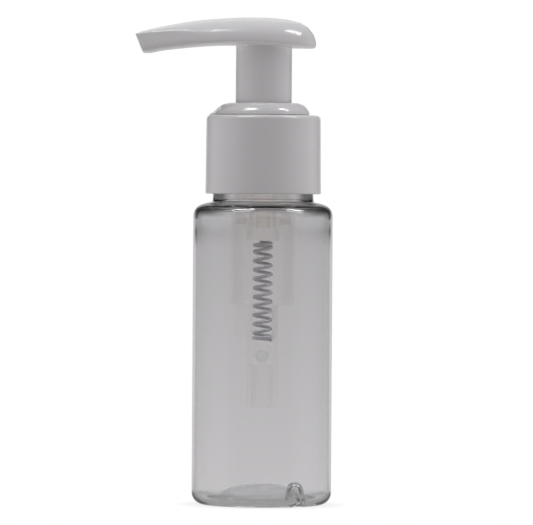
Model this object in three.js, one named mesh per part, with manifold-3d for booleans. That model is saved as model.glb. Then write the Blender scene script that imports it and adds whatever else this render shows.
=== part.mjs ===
// Pump oil bottle: clear 24/410 cylinder bottle with a saddle-head lotion pump.
// Millimetres, +Z up. The resting plane is z = 0 and the nozzle points along -X.
// Every piece is drawn about the bottle's own axis; one group then shifts the
// whole assembly along +X, so that the origin is the centre of its plan outline.
import * as THREE from "three";
import { mergeVertices } from "three/addons/utils/BufferGeometryUtils.js";
import Module from "manifold-3d";

const wasm = await Module();
wasm.setup();

const { degToRad, smoothstep } = THREE.MathUtils;

// ---------- shared dimensions ----------
// In names, _R is a radius and _Z a height; Z0 is a lower end and Z1 an upper one.
const FACETS = 36; // round the large turned pieces
const SMALL_FACETS = 24; // round the small ones

const TIP_X = -30.6; // nozzle tip, from the bottle axis
const BODY_R = 16.6;
const AXIS_X = (-TIP_X - BODY_R) / 2; // bottle axis, from the centre of the plan outline
const FINISH_Z = 88.2; // top of the bottle's neck

// thread, 8 turns per inch, right hand
const PITCH = 3.175;
const THREAD_Z = 80.6; // centre of the bottle thread's start

// housing features that other pieces rest on or fit in
const FLANGE_Z0 = 89.35;
const TAIL_Z0 = 23.2;
const LEDGE_Z = 38.7; // spring seat
const SOCKET_R = 2.6; // dip tube socket
const SOCKET_Z1 = 33.2;

const STEM_BORE_R = 1.7;
const PLUNGER_Z = 65.9; // foot of the stem and of the piston

// ---------- materials ----------
const CLEAR_BOTTLE = {
  color: 0xd9dbdc,
  roughness: 0.06,
  metalness: 0,
  transparent: true,
  opacity: 0.3,
};
const WHITE_PP = { color: 0xf2f1f0, roughness: 0.28, metalness: 0 };
const NATURAL_PP = {
  color: 0xdfe2e2,
  roughness: 0.35,
  metalness: 0,
  transparent: true,
  opacity: 0.55,
};
const GASKET_FOAM = { color: 0xf0eee8, roughness: 0.9, metalness: 0 };
const ROD_PLASTIC = { color: 0xd2d1cb, roughness: 0.4, metalness: 0 };
const PISTON_PLASTIC = { color: 0xd4d6d6, roughness: 0.5, metalness: 0 };
const SPRING_STEEL = { color: 0x9a9ca0, roughness: 0.3, metalness: 1 };
const BALL_GLASS = { color: 0xb9cdd6, roughness: 0.1, metalness: 0 };
const TUBE_PLASTIC = {
  color: 0xe4e6e6,
  roughness: 0.3,
  metalness: 0,
  transparent: true,
  opacity: 0.5,
};

// ---------- helpers ----------
function solidOf(geometry) {
  geometry.deleteAttribute("normal");
  geometry.deleteAttribute("uv");
  const merged = mergeVertices(geometry, 1e-4);
  return new wasm.Manifold(
    new wasm.Mesh({
      numProp: 3,
      vertProperties: new Float32Array(merged.attributes.position.array),
      triVerts: new Uint32Array(merged.index.array),
    }),
  );
}

// The solid of an indexed geometry, turned right side out if its faces point in.
function outwardSolidOf(geometry) {
  const solid = solidOf(geometry);
  if (solid.volume() >= 0) return solid;
  const index = geometry.index.array;
  for (let i = 0; i < index.length; i += 3) {
    [index[i + 1], index[i + 2]] = [index[i + 2], index[i + 1]];
  }
  return solidOf(geometry);
}

function geometryOf(solid) {
  const mesh = solid.getMesh();
  const indexed = new THREE.BufferGeometry();
  indexed.setAttribute("position", new THREE.BufferAttribute(mesh.vertProperties, 3));
  indexed.setIndex(new THREE.BufferAttribute(mesh.triVerts, 1));
  const flatShaded = indexed.toNonIndexed();
  flatShaded.computeVertexNormals();
  return flatShaded;
}

// A solid turned about Z. Points are [radius, z]; the outline closes on the
// axis, or else on its own first point.
function turned(points, facets = FACETS) {
  const outline = points.map(([radius, z]) => new THREE.Vector2(radius, z));
  const onAxis = points[0][0] === 0 && points[points.length - 1][0] === 0;
  if (!onAxis) outline.push(outline[0].clone());
  const geometry = new THREE.LatheGeometry(outline, facets);
  geometry.rotateX(Math.PI / 2); // the lathe's own axis is Y
  return outwardSolidOf(geometry);
}

// Points of an arc in the (radius, z) plane, between two angles in degrees.
function arc(centreR, centreZ, radius, from, to, steps) {
  const points = [];
  for (let i = 0; i <= steps; i++) {
    const angle = degToRad(from + ((to - from) * i) / steps);
    points.push([centreR + radius * Math.cos(angle), centreZ + radius * Math.sin(angle)]);
  }
  return points;
}

// A bar reshaped point by point: place() moves each vector it is given.
function bent(geometry, place) {
  const position = geometry.attributes.position;
  const point = new THREE.Vector3();
  for (let i = 0; i < position.count; i++) {
    point.fromBufferAttribute(position, i);
    place(point);
    position.setXYZ(i, point.x, point.y, point.z);
  }
  return outwardSolidOf(geometry);
}

// A helical ridge of trapezoid section that fades at both ends. startZ is its
// height at turn 0; widths are measured along Z.
function threadRidge(ridge) {
  const FADE = 0.08; // share of the length that fades at each end
  const LEAST_HEIGHT = 0.12; // share of the full height left at the very ends
  const { rootR, crestR, rootWidth, crestWidth, startZ, fromTurn, toTurn, steps } = ridge;
  return bent(new THREE.BoxGeometry(1, 1, 1, steps, 1, 1), (point) => {
    const along = point.x + 0.5;
    const turn = fromTurn + (toTurn - fromTurn) * along;
    const fade = smoothstep(along, 0, FADE) * smoothstep(1 - along, 0, FADE);
    const onCrest = point.y > 0;
    const fadedR = rootR + (crestR - rootR) * Math.max(LEAST_HEIGHT, fade);
    const radius = onCrest ? fadedR : rootR;
    const width = onCrest ? crestWidth : rootWidth;
    const angle = turn * 2 * Math.PI;
    point.set(
      radius * Math.cos(angle),
      radius * Math.sin(angle),
      startZ + PITCH * turn + point.z * width,
    );
  });
}

// A plate standing in the XZ plane, centred on it. The shape is drawn in (x, z).
function uprightPlate(shape, thickness) {
  const geometry = new THREE.ExtrudeGeometry(shape, {
    depth: thickness,
    bevelEnabled: false,
    curveSegments: 5,
  });
  geometry.translate(0, 0, -thickness / 2);
  geometry.rotateX(Math.PI / 2);
  return geometry;
}

// Linear interpolation in a table of [x, value]; constant beyond its ends.
function valueAt(table, x) {
  if (x <= table[0][0]) return table[0][1];
  for (let i = 1; i < table.length; i++) {
    if (x <= table[i][0]) {
      const [x0, value0] = table[i - 1];
      const [x1, value1] = table[i];
      return value0 + ((value1 - value0) * (x - x0)) / (x1 - x0);
    }
  }
  return table[table.length - 1][1];
}

// ---------- bottle ----------
const WALL = 0.8;
const SHOULDER_WALL = 1.0; // thickest, next to the neck
const HEEL_R = 2.9;
const INNER_HEEL_R = 2.1;
const SHOULDER_Z = 71.8;
const NECK_STEP_R = 12.02;
const NECK_STEP_Z1 = 74.6;
const NECK_WAIST_R = 11.95;
const NECK_R = 10.95;
const NECK_BORE_R = 9.9;
const BASE_HOLLOW_Z = 4.0; // outer height of the base's hollow
const BASE_THICKNESS = 0.9; // on the axis
const RING_IN_R = 13.0; // flat resting ring
const RING_OUT_R = 13.7;
const NOTCH_ANGLE = degToRad(-52.5); // index notch at the heel
const NOTCH_AT_R = 12.8;
const NOTCH_Z = 0.9;
const NOTCH_SEMI_AXES = [1.6, 1.5, 4.0]; // radial, tangential, vertical
const NOTCH_WALL = 0.8;

// outer shoulder, from the body up to the foot of the neck: [radius, z]
const SHOULDER = [
  [BODY_R, 68.2], [16.55, 68.9], [16.42, 69.5], [16.2, 70.05],
  [15.88, 70.52], [15.45, 70.9], [14.95, 71.2], [14.4, 71.43],
  [13.7, 71.66], [13.0, 71.84], [12.4, 71.97],
];

// The same line moved inward by a thickness that goes from first to last.
function inset(points, first, last) {
  return points.map(([radius, z], i) => {
    const [prevR, prevZ] = points[Math.max(i - 1, 0)];
    const [nextR, nextZ] = points[Math.min(i + 1, points.length - 1)];
    const length = Math.hypot(nextR - prevR, nextZ - prevZ);
    const thickness = first + ((last - first) * i) / (points.length - 1);
    return [
      radius - (thickness * (nextZ - prevZ)) / length,
      z + (thickness * (nextR - prevR)) / length,
    ];
  });
}

// The notch's ellipsoid, grown by an amount on every semi-axis.
function notch(grow) {
  const geometry = new THREE.SphereGeometry(1, 14, 9);
  geometry.rotateX(Math.PI / 2);
  geometry.scale(...NOTCH_SEMI_AXES.map((semiAxis) => semiAxis + grow));
  geometry.rotateZ(NOTCH_ANGLE);
  geometry.translate(
    NOTCH_AT_R * Math.cos(NOTCH_ANGLE),
    NOTCH_AT_R * Math.sin(NOTCH_ANGLE),
    NOTCH_Z,
  );
  return solidOf(geometry);
}

function makeBottle() {
  const outer = turned([
    [0, BASE_HOLLOW_Z],
    [3, 3.91], [6, 3.46], [8.6, 2.63], [10.4, 1.76], [11.6, 1.03], [12.5, 0.4],
    [RING_IN_R, 0],
    [RING_OUT_R, 0],
    ...arc(BODY_R - HEEL_R, HEEL_R, HEEL_R, -75, 0, 5),
    ...SHOULDER,
    [NECK_WAIST_R + 0.1, SHOULDER_Z + 0.45],
    [NECK_WAIST_R, SHOULDER_Z + 1.2],
    [NECK_WAIST_R + 0.02, SHOULDER_Z + 2.0],
    [NECK_STEP_R, NECK_STEP_Z1 - 0.25],
    [NECK_STEP_R - 0.25, NECK_STEP_Z1],
    [NECK_R, NECK_STEP_Z1 + 0.5],
    [NECK_R, FINISH_Z - 0.3],
    [NECK_R - 0.3, FINISH_Z],
    [0, FINISH_Z],
  ]);
  const cavity = turned([
    [0, BASE_HOLLOW_Z + BASE_THICKNESS],
    [3, 4.81], [6, 4.37], [8.8, 3.45], [10.8, 2.45], [12.0, 1.68], [13.1, 0.98],
    ...arc(BODY_R - WALL - INNER_HEEL_R, 3.05, INNER_HEEL_R, -70, 0, 4),
    ...inset(SHOULDER, WALL, SHOULDER_WALL),
    [NECK_BORE_R + 0.8, SHOULDER_Z - 0.5],
    [NECK_BORE_R, SHOULDER_Z + 0.4],
    [NECK_BORE_R, FINISH_Z - 0.25],
    [NECK_BORE_R + 0.25, FINISH_Z],
    [NECK_BORE_R + 0.25, FINISH_Z + 2],
    [0, FINISH_Z + 2],
  ]);
  const ridge = threadRidge({
    rootR: NECK_R - 0.3,
    crestR: 11.9,
    rootWidth: 2.1,
    crestWidth: 1.1,
    startZ: THREAD_Z,
    fromTurn: 0,
    toTurn: 1.3,
    steps: 44,
  });
  // the notch is a dent outside and stands up inside as a bump
  return outer
    .add(ridge)
    .subtract(notch(0))
    .subtract(cavity.subtract(notch(NOTCH_WALL)));
}

// ---------- closure ----------
const CAP_R_LOW = 13.75;
const CAP_R_HIGH = 13.58;
const CAP_Z0 = 73.9;
const CAP_Z1 = 92.6;
const CAP_EDGE_R = 1.0;
const CAP_BORE_R = 12.35;
const CAP_PLATE_Z = 90.5; // underside of the top plate
const CAP_HOLE_R = 7.9;

function makeClosure() {
  const shell = turned([
    [CAP_BORE_R + 0.3, CAP_Z0],
    [CAP_R_LOW - 0.25, CAP_Z0],
    [CAP_R_LOW, CAP_Z0 + 0.25],
    ...arc(CAP_R_HIGH - CAP_EDGE_R, CAP_Z1 - CAP_EDGE_R, CAP_EDGE_R, 0, 90, 5),
    [CAP_HOLE_R, CAP_Z1],
    [CAP_HOLE_R, CAP_PLATE_Z],
    [CAP_BORE_R, CAP_PLATE_Z],
    [CAP_BORE_R, CAP_Z0 + 0.3],
  ]);
  // half a pitch above the bottle's ridge, so it runs between the ridge's turns
  const ridge = threadRidge({
    rootR: CAP_BORE_R + 0.25,
    crestR: 11.3,
    rootWidth: 1.5,
    crestWidth: 0.75,
    startZ: THREAD_Z + PITCH / 2,
    fromTurn: -1.0,
    toTurn: 0.15,
    steps: 40,
  });
  return shell.add(ridge);
}

// ---------- plain rings: neck gasket and dip tube ----------
function makeRing(innerR, outerR, z0, z1) {
  return turned([[innerR, z0], [outerR, z0], [outerR, z1], [innerR, z1]], SMALL_FACETS);
}

const RING_GAP = 0.1; // clearance at each end of a ring
const GASKET_IN_R = 8.6;
const GASKET_OUT_R = 11.55;
const TUBE_BORE_R = 1.75;
const TUBE_R = SOCKET_R - 0.06;

const makeGasket = () =>
  makeRing(GASKET_IN_R, GASKET_OUT_R, FINISH_Z + RING_GAP, FLANGE_Z0 - RING_GAP);

// Only the length of tube inside the housing's socket.
const makeDipTube = () =>
  makeRing(TUBE_BORE_R, TUBE_R, TAIL_Z0 + RING_GAP, SOCKET_Z1 - RING_GAP);

// ---------- pump housing ----------
const FLANGE_R = 11.6;
const FLANGE_Z1 = 90.35;
const UPPER_R = 8.35;
const UPPER_BORE_R = 7.75; // holds the lock collar's sleeve
const CHAMBER_R = 7.6;
const CHAMBER_BORE_R = 6.9;
const CHAMBER_Z0 = 47.4;
const CHAMBER_EDGE_R = 1.1;
const TAIL_R = 3.8;
const TAIL_BORE_R = 3.0;
const BALL_RING_R = 1.25; // bore of the ring that retains the ball
const BALL_POCKET_R = 2.1;
const INLET_R = 1.0;
const RIB_R = 6.35; // gusset ribs
const RIB_CORNER_R = 1.3;
const RIB_Z0 = 39.4;
const RIB_Z1 = CHAMBER_Z0 + 0.5;
const RIB_ROOT_R = TAIL_R - 0.35;
const RIB_THICKNESS = 1.0;
const RIB_ANGLES = [180, 60, -60]; // degrees from +X
const SLOT = { length: 3.8, width: 0.6, height: 0.9, z: 38.35 };
const VENT = { radius: 0.5, length: 4, z: 80.5 };

// A gusset rib under the chamber, with a rounded lower outer corner.
function makeRib(angle) {
  const shape = new THREE.Shape();
  shape.moveTo(RIB_ROOT_R, RIB_Z1);
  shape.lineTo(RIB_ROOT_R, RIB_Z0 - 0.4);
  shape.lineTo(TAIL_R + 0.5, RIB_Z0);
  const cornerX = RIB_R - RIB_CORNER_R;
  shape.lineTo(cornerX, RIB_Z0);
  shape.absarc(cornerX, RIB_Z0 + RIB_CORNER_R, RIB_CORNER_R, -Math.PI / 2, 0, false);
  shape.lineTo(RIB_R, RIB_Z1);
  shape.closePath();
  const geometry = uprightPlate(shape, RIB_THICKNESS);
  geometry.rotateZ(degToRad(angle));
  return solidOf(geometry);
}

function makeHousing() {
  let housing = turned([
    // bore, from the flange down
    [UPPER_BORE_R, FLANGE_Z1],
    [UPPER_BORE_R, 76.0],
    [CHAMBER_BORE_R, 75.0],
    [CHAMBER_BORE_R, 49.4],
    [6.3, 48.7],
    [TAIL_BORE_R + 0.3, 48.7],
    [TAIL_BORE_R, 48.4],
    [TAIL_BORE_R, LEDGE_Z],
    [BALL_RING_R, LEDGE_Z],
    [BALL_RING_R, 38.25],
    [BALL_POCKET_R, 37.9],
    [BALL_POCKET_R, 35.25],
    [INLET_R, 34.15],
    [INLET_R, SOCKET_Z1],
    [SOCKET_R, SOCKET_Z1],
    [SOCKET_R, TAIL_Z0 + 0.25],
    [SOCKET_R + 0.25, TAIL_Z0],
    // outside, from the tail up
    [TAIL_R - 0.05, TAIL_Z0],
    [TAIL_R + 0.15, TAIL_Z0 + 0.2],
    [TAIL_R + 0.15, TAIL_Z0 + 1.8],
    [TAIL_R, TAIL_Z0 + 2.0],
    [TAIL_R, CHAMBER_Z0 - 0.3],
    [TAIL_R + 0.3, CHAMBER_Z0],
    ...arc(CHAMBER_R - CHAMBER_EDGE_R, CHAMBER_Z0 + CHAMBER_EDGE_R, CHAMBER_EDGE_R, -90, 0, 4),
    [CHAMBER_R, 69.9],
    [UPPER_R, 70.6],
    [UPPER_R, FLANGE_Z0],
    [FLANGE_R, FLANGE_Z0],
    [FLANGE_R, FLANGE_Z1],
  ]);
  for (const angle of RIB_ANGLES) housing = housing.add(makeRib(angle));
  // two crossed bars cut four slots through the ball's retaining ring, so that
  // the ball can't seal there
  for (const angle of [0, Math.PI / 2]) {
    const bar = new THREE.BoxGeometry(SLOT.length, SLOT.width, SLOT.height);
    bar.rotateZ(angle);
    bar.translate(0, 0, SLOT.z);
    housing = housing.subtract(solidOf(bar));
  }
  // air vent on the +Y side, behind the closure
  const vent = new THREE.CylinderGeometry(VENT.radius, VENT.radius, VENT.length, 12);
  vent.translate(0, UPPER_R, VENT.z);
  return housing.subtract(solidOf(vent));
}

// ---------- lock collar ----------
const COLLAR_R = 11.0;
const COLLAR_Z0 = 92.75;
const COLLAR_Z1 = 95.5;
const COLLAR_BORE_R = 6.95;
const SLEEVE_R = 7.6;
const SLEEVE_Z0 = 76.15;
const GUIDE_R = 3.3; // hole for the stem
const GUIDE_Z1 = 77.3;
const LOCK_GROOVE_R = 7.4;
const LOCK_GROOVE_Z1 = 94.2;
const TOE_WIDTH = 5;
const LUG_WIDTH = 1.8; // on the actuator head
const KEYWAY = { width: LUG_WIDTH + 0.6, depth: 2.2, height: 12.4, y: 7.4, z: COLLAR_Z0 - 5.95 };

// toe outline: [distance from the axis towards the nozzle, z]
const TOE = [
  [9.6, COLLAR_Z0], [9.6, 95.0], [10.2, 94.85], [10.8, 94.4], [11.35, 93.9],
  [11.9, 93.4], [12.35, 93.1], [12.85, 92.87], [12.95, COLLAR_Z0],
];

function makeToe() {
  const shape = new THREE.Shape(TOE.map(([reach, z]) => new THREE.Vector2(-reach, z)));
  shape.closePath();
  return solidOf(uprightPlate(shape, TOE_WIDTH));
}

// A keyway down the sleeve, no deeper than the lock groove; side is 1 or -1
// for +Y or -Y.
function makeKeyway(side) {
  const box = new THREE.BoxGeometry(KEYWAY.width, KEYWAY.depth, KEYWAY.height);
  box.translate(0, side * KEYWAY.y, KEYWAY.z);
  const band = turned([
    [COLLAR_BORE_R - 0.6, 79],
    [LOCK_GROOVE_R, 79],
    [LOCK_GROOVE_R, 94],
    [COLLAR_BORE_R - 0.6, 94],
  ]);
  return solidOf(box).intersect(band);
}

function makeCollar() {
  const body = turned([
    [COLLAR_BORE_R + 0.3, COLLAR_Z1],
    [COLLAR_BORE_R, COLLAR_Z1 - 0.3],
    [COLLAR_BORE_R, LOCK_GROOVE_Z1 + 0.3],
    [LOCK_GROOVE_R, LOCK_GROOVE_Z1],
    [LOCK_GROOVE_R, COLLAR_Z0],
    [COLLAR_BORE_R, COLLAR_Z0],
    [COLLAR_BORE_R, GUIDE_Z1],
    [GUIDE_R, GUIDE_Z1],
    [GUIDE_R, SLEEVE_Z0],
    [SLEEVE_R - 0.3, SLEEVE_Z0],
    [SLEEVE_R, SLEEVE_Z0 + 0.3],
    [SLEEVE_R, COLLAR_Z0],
    [COLLAR_R, COLLAR_Z0],
    [10.94, 93.2], [10.74, 93.65], [10.36, 94.22], [9.87, 94.74], [9.27, 95.17], [8.75, 95.38],
    [8.1, COLLAR_Z1],
  ]);
  // the head's lugs drop into the keyways only when the nozzle faces the toe,
  // so a quarter turn locks the pump up
  return body.add(makeToe()).subtract(makeKeyway(1)).subtract(makeKeyway(-1));
}

// ---------- actuator head ----------
const SKIRT_R = 6.68;
const SKIRT_BORE_R = 5.9;
const SKIRT_Z0 = 89.5;
const SKIRT_Z1 = 110.5; // buried in the head
const SKIRT_BORE_Z1 = 108.4;
const LUG_R = 7.2;
const LUG_Z = 93.6;
const SOCKET_WALL_R = 4.3; // outside of the stem socket
const STEM_SOCKET_R = 3.06;
const STEM_SOCKET_Z0 = 99.0;
const STEM_SOCKET_Z1 = 107.6;
const PASSAGE_Z1 = 112.2; // top of the passage above the stem
const CHANNEL = { radius: 1.15, length: 34, startX: 0.6, startZ: 111.75, tilt: -0.07 };

// The head's tables run in x from the nozzle tip to the back.
// crown line: [x, z]
const HEAD_TOP = [
  [TIP_X, 111.8], [-28.78, 112.47], [-25.93, 113.2], [-23.07, 113.82], [-20.22, 114.35],
  [-17.37, 114.84], [-14.51, 115.21], [-11.66, 115.45], [-8.8, 115.65], [-5.95, 115.8],
  [-3.09, 115.87], [-0.24, 115.84], [2.62, 115.7], [5.48, 115.4], [6.91, 115.11],
  [8.34, 114.72], [9.05, 114.44], [9.77, 114.04], [10.49, 113.48], [11.21, 112.67],
  [11.93, 111.52], [12.38, 109.95],
];
// underside: [x, z]
const HEAD_BOTTOM = [
  [TIP_X, 107.3], [-28.74, 107.35], [-27.32, 107.5], [-24.46, 107.9], [-21.61, 108.26],
  [-18.76, 108.58], [-15.9, 108.86], [-13.05, 109.06], [-10.19, 109.18], [-7.34, 109.2],
  [-3, 109.1], [3, 108.82], [6.59, 108.6], [11.4, 108.58], [11.9, 108.65], [12.38, 109.1],
];
// [x, half width in plan]
const HEAD_HALF = [
  [TIP_X, 5.2], [-27, 5.55], [-22, 6.1], [-16, 6.8], [-10, 7.45],
  [-5, 7.85], [-1, 8.0], [2, 7.8], [4.5, 7.3], [6.5, 6.6],
  [8.2, 5.75], [9.7, 4.7], [10.9, 3.45], [11.7, 2.3], [12.38, 0.8],
];
// height of the section's widest line, a crease near the nozzle and low on the
// rounded flank above the stem: [x, z]
const HEAD_WIDEST = [
  [TIP_X, 111.7], [-26, 112.0], [-22, 112.1], [-18.5, 111.7], [-14, 110.6], [-10, 110.15],
  [-5, 110.0], [0, 109.9], [9, 109.9], [11.3, 109.85], [12.38, 109.6],
];
// superellipse power of the section above its widest line, and [x, power] below
const HEAD_SQUARE_TOP = 2.4;
const HEAD_SQUARE_LOW = [
  [TIP_X, 6], [-24, 6], [-17, 5], [-12, 3.6], [-8, 2.8], [12.38, 2.6],
];
// x of each section
const HEAD_STATIONS = [
  TIP_X, -29.8, -28, -24.5, -21, -17, -13, -9, -5, -1.5,
  1.5, 4, 6, 7.6, 8.8, 9.8, 10.6, 11.3, 11.9, 12.38,
];
const HEAD_SIDES = 32;
const FLARE = 0.09; // widening of a section at its foot, as a share of its width
const NOZZLE_FLARE = 0.03; // added towards the nozzle
const FACE_LEAN = 1.85; // how far the nozzle face's foot is set back

const signedPower = (value, power) => Math.sign(value) * Math.abs(value) ** power;

function makeHeadBody() {
  const spans = HEAD_STATIONS.length - 1;
  const bar = new THREE.CylinderGeometry(1, 1, 1, HEAD_SIDES, spans);
  return bent(bar, (point) => {
    const x = HEAD_STATIONS[Math.round((point.y + 0.5) * spans)];
    const top = valueAt(HEAD_TOP, x);
    const bottom = valueAt(HEAD_BOTTOM, x);
    const widest = valueAt(HEAD_WIDEST, x);
    const reach = Math.hypot(point.x, point.z); // 0 at an end cap's centre
    const across = point.x / (reach || 1);
    const up = point.z / (reach || 1);
    const power = 2 / (up > 0 ? HEAD_SQUARE_TOP : valueAt(HEAD_SQUARE_LOW, x));
    const height = up > 0 ? top - widest : widest - bottom;
    const y = reach * valueAt(HEAD_HALF, x) * signedPower(across, power);
    const z = widest + reach * height * signedPower(up, power);
    // the section widens a little from its top to its foot
    const taper = FLARE + NOZZLE_FLARE * smoothstep(-x, 12, 20);
    const flare = taper * (1 - (2 * (z - bottom)) / (top - bottom));
    // the nozzle's face leans back towards its foot
    const lean = (smoothstep(-x, 24, 30) * FACE_LEAN * (top - z)) / (top - bottom);
    point.set(x + lean, y * (1 + flare), z);
  });
}

// Two lugs on the skirt, at +Y and -Y.
function makeLugs() {
  const ring = turned([
    [SKIRT_R - 0.5, 92.95],
    [LUG_R, 92.95],
    [LUG_R, 94.05],
    [SKIRT_R - 0.5, 94.35],
  ]);
  const band = new THREE.BoxGeometry(LUG_WIDTH, 20, 3);
  band.translate(0, 0, LUG_Z);
  return ring.intersect(solidOf(band));
}

// The nozzle passage, from the axis out through the tip.
function makeChannel() {
  const geometry = new THREE.CylinderGeometry(CHANNEL.radius, CHANNEL.radius, CHANNEL.length, 20);
  geometry.rotateZ(Math.PI / 2);
  geometry.translate(-CHANNEL.length / 2, 0, 0);
  geometry.rotateY(CHANNEL.tilt); // falls towards the nozzle
  geometry.translate(CHANNEL.startX, 0, CHANNEL.startZ);
  return solidOf(geometry);
}

function makeActuator() {
  const skirt = turned([
    [0, SKIRT_Z0],
    [SKIRT_R - 0.2, SKIRT_Z0],
    [SKIRT_R, SKIRT_Z0 + 0.2],
    [SKIRT_R, SKIRT_Z1],
    [0, SKIRT_Z1],
  ]);
  // the hollow leaves the stem socket standing inside the skirt
  const hollow = turned([
    [0, SKIRT_Z0 - 0.5],
    [SKIRT_BORE_R, SKIRT_Z0 - 0.5],
    [SKIRT_BORE_R, SKIRT_BORE_Z1],
    [SOCKET_WALL_R, SKIRT_BORE_Z1],
    [SOCKET_WALL_R, STEM_SOCKET_Z0],
    [STEM_SOCKET_R + 0.3, STEM_SOCKET_Z0],
    [STEM_SOCKET_R, STEM_SOCKET_Z0 + 0.3],
    [STEM_SOCKET_R, STEM_SOCKET_Z1],
    [STEM_BORE_R, STEM_SOCKET_Z1],
    [STEM_BORE_R, PASSAGE_Z1],
    [0, PASSAGE_Z1],
  ]);
  return makeHeadBody().add(skirt).subtract(hollow).add(makeLugs()).subtract(makeChannel());
}

// ---------- pump stem ----------
const STEM_R = 3.0;
const STEM_Z1 = 107.5;
const STOP_R = 4.4; // shoulder that meets the lock collar's foot
const STOP_Z0 = 74.9;
const STOP_Z1 = 75.95;
const PORT = { radius: 0.6, length: 8, z: 70.6 };

function makeStem() {
  const tube = turned(
    [
      [STEM_BORE_R, PLUNGER_Z],
      [STEM_R, PLUNGER_Z],
      [STEM_R, STOP_Z0],
      [STOP_R, STOP_Z0],
      [STOP_R, STOP_Z1 - 0.3],
      [STOP_R - 0.3, STOP_Z1],
      [STEM_R, STOP_Z1],
      [STEM_R, STEM_Z1],
      [STEM_BORE_R, STEM_Z1],
    ],
    SMALL_FACETS,
  );
  // one cross hole along Y makes both ports
  const ports = new THREE.CylinderGeometry(PORT.radius, PORT.radius, PORT.length, 12);
  ports.translate(0, 0, PORT.z);
  return tube.subtract(solidOf(ports));
}

// ---------- valve rod ----------
const ROD_R = 3.9; // the disc round the rod
const ROD_Z0 = 62.9;
const ROD_Z1 = 65.8;
const PIN_R = 1.4; // below the disc
const PLUG_R = 1.62; // above it, inside the stem

function makeValveRod() {
  return turned(
    [
      [0, 57.2],
      [1.0, 57.2],
      [PIN_R, 57.7],
      [PIN_R, ROD_Z0],
      [ROD_R - 0.25, ROD_Z0],
      [ROD_R, ROD_Z0 + 0.25],
      [ROD_R, ROD_Z1 - 0.25],
      [ROD_R - 0.25, ROD_Z1],
      [PLUG_R, ROD_Z1],
      [PLUG_R, 69.2],
      [1.2, 69.6],
      [0, 69.6],
    ],
    SMALL_FACETS,
  );
}

// ---------- piston ----------
const PISTON_Z1 = 73.9;
const PISTON_HUB_R = 4.6;
const PISTON_LIP_R = 6.75;
const PISTON_BORE_R = 3.3;

// A hub with a skirt round it that has a lip at each end.
function makePiston() {
  return turned(
    [
      [PISTON_BORE_R, PLUNGER_Z],
      [PISTON_HUB_R, PLUNGER_Z],
      [PISTON_HUB_R, 68.9],
      [5.9, 68.2],
      [6.25, 66.6],
      [PISTON_LIP_R, 66.6],
      [PISTON_LIP_R, 67.6],
      [6.5, 69.4],
      [6.5, 71.2],
      [PISTON_LIP_R, 73.0],
      [PISTON_LIP_R, PISTON_Z1],
      [6.25, PISTON_Z1],
      [5.9, 72.4],
      [PISTON_HUB_R, 71.7],
      [PISTON_HUB_R, PISTON_Z1],
      [PISTON_BORE_R, PISTON_Z1],
    ],
    SMALL_FACETS,
  );
}

// ---------- return spring ----------
const SPRING_Z1 = 62.8;
const SPRING_MEAN_R = 2.0;
const WIRE_R = 0.4;
const OPEN_COILS = 9.8;
const CLOSED_COILS = 1.25; // at each end
const CLOSED_PITCH = 2 * WIRE_R + 0.06;

function makeSpring() {
  const lowZ = LEDGE_Z + WIRE_R + 0.05; // wire centre at each end
  const highZ = SPRING_Z1 - WIRE_R;
  const openRise = highZ - lowZ - 2 * CLOSED_COILS * CLOSED_PITCH;
  const wire = new THREE.CylinderGeometry(WIRE_R, WIRE_R, 1, 6, 118);
  return bent(wire, (point) => {
    const turn = (point.y + 0.5) * (OPEN_COILS + 2 * CLOSED_COILS);
    const open = Math.min(Math.max(turn - CLOSED_COILS, 0), OPEN_COILS);
    const closed = turn - open;
    const z = lowZ + closed * CLOSED_PITCH + (open / OPEN_COILS) * openRise;
    const radius = SPRING_MEAN_R + point.x;
    const angle = turn * 2 * Math.PI;
    point.set(radius * Math.cos(angle), radius * Math.sin(angle), z + point.z);
  });
}

// ---------- inlet ball ----------
const BALL_R = 1.5;
const BALL_Z = 35.4;

function makeBall() {
  const geometry = new THREE.SphereGeometry(BALL_R, 16, 10);
  geometry.rotateX(Math.PI / 2);
  geometry.translate(0, 0, BALL_Z);
  return solidOf(geometry);
}

// ---------- assembly ----------
const root = new THREE.Group();
const assembly = new THREE.Group();
assembly.position.x = AXIS_X;
root.add(assembly);

function add(name, solid, material) {
  const mesh = new THREE.Mesh(geometryOf(solid), new THREE.MeshStandardMaterial(material));
  mesh.name = name;
  assembly.add(mesh);
}

add("bottle", makeBottle(), CLEAR_BOTTLE);
add("closure", makeClosure(), WHITE_PP);
add("neck_gasket", makeGasket(), GASKET_FOAM);
add("pump_housing", makeHousing(), NATURAL_PP);
add("lock_collar", makeCollar(), WHITE_PP);
add("actuator_head", makeActuator(), WHITE_PP);
add("pump_stem", makeStem(), WHITE_PP);
add("valve_rod", makeValveRod(), ROD_PLASTIC);
add("piston", makePiston(), PISTON_PLASTIC);
add("return_spring", makeSpring(), SPRING_STEEL);
add("inlet_ball", makeBall(), BALL_GLASS);
add("dip_tube", makeDipTube(), TUBE_PLASTIC);

export default root;
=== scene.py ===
import math

import bmesh
import bpy
import numpy as np
from mathutils import Matrix, Vector


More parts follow.
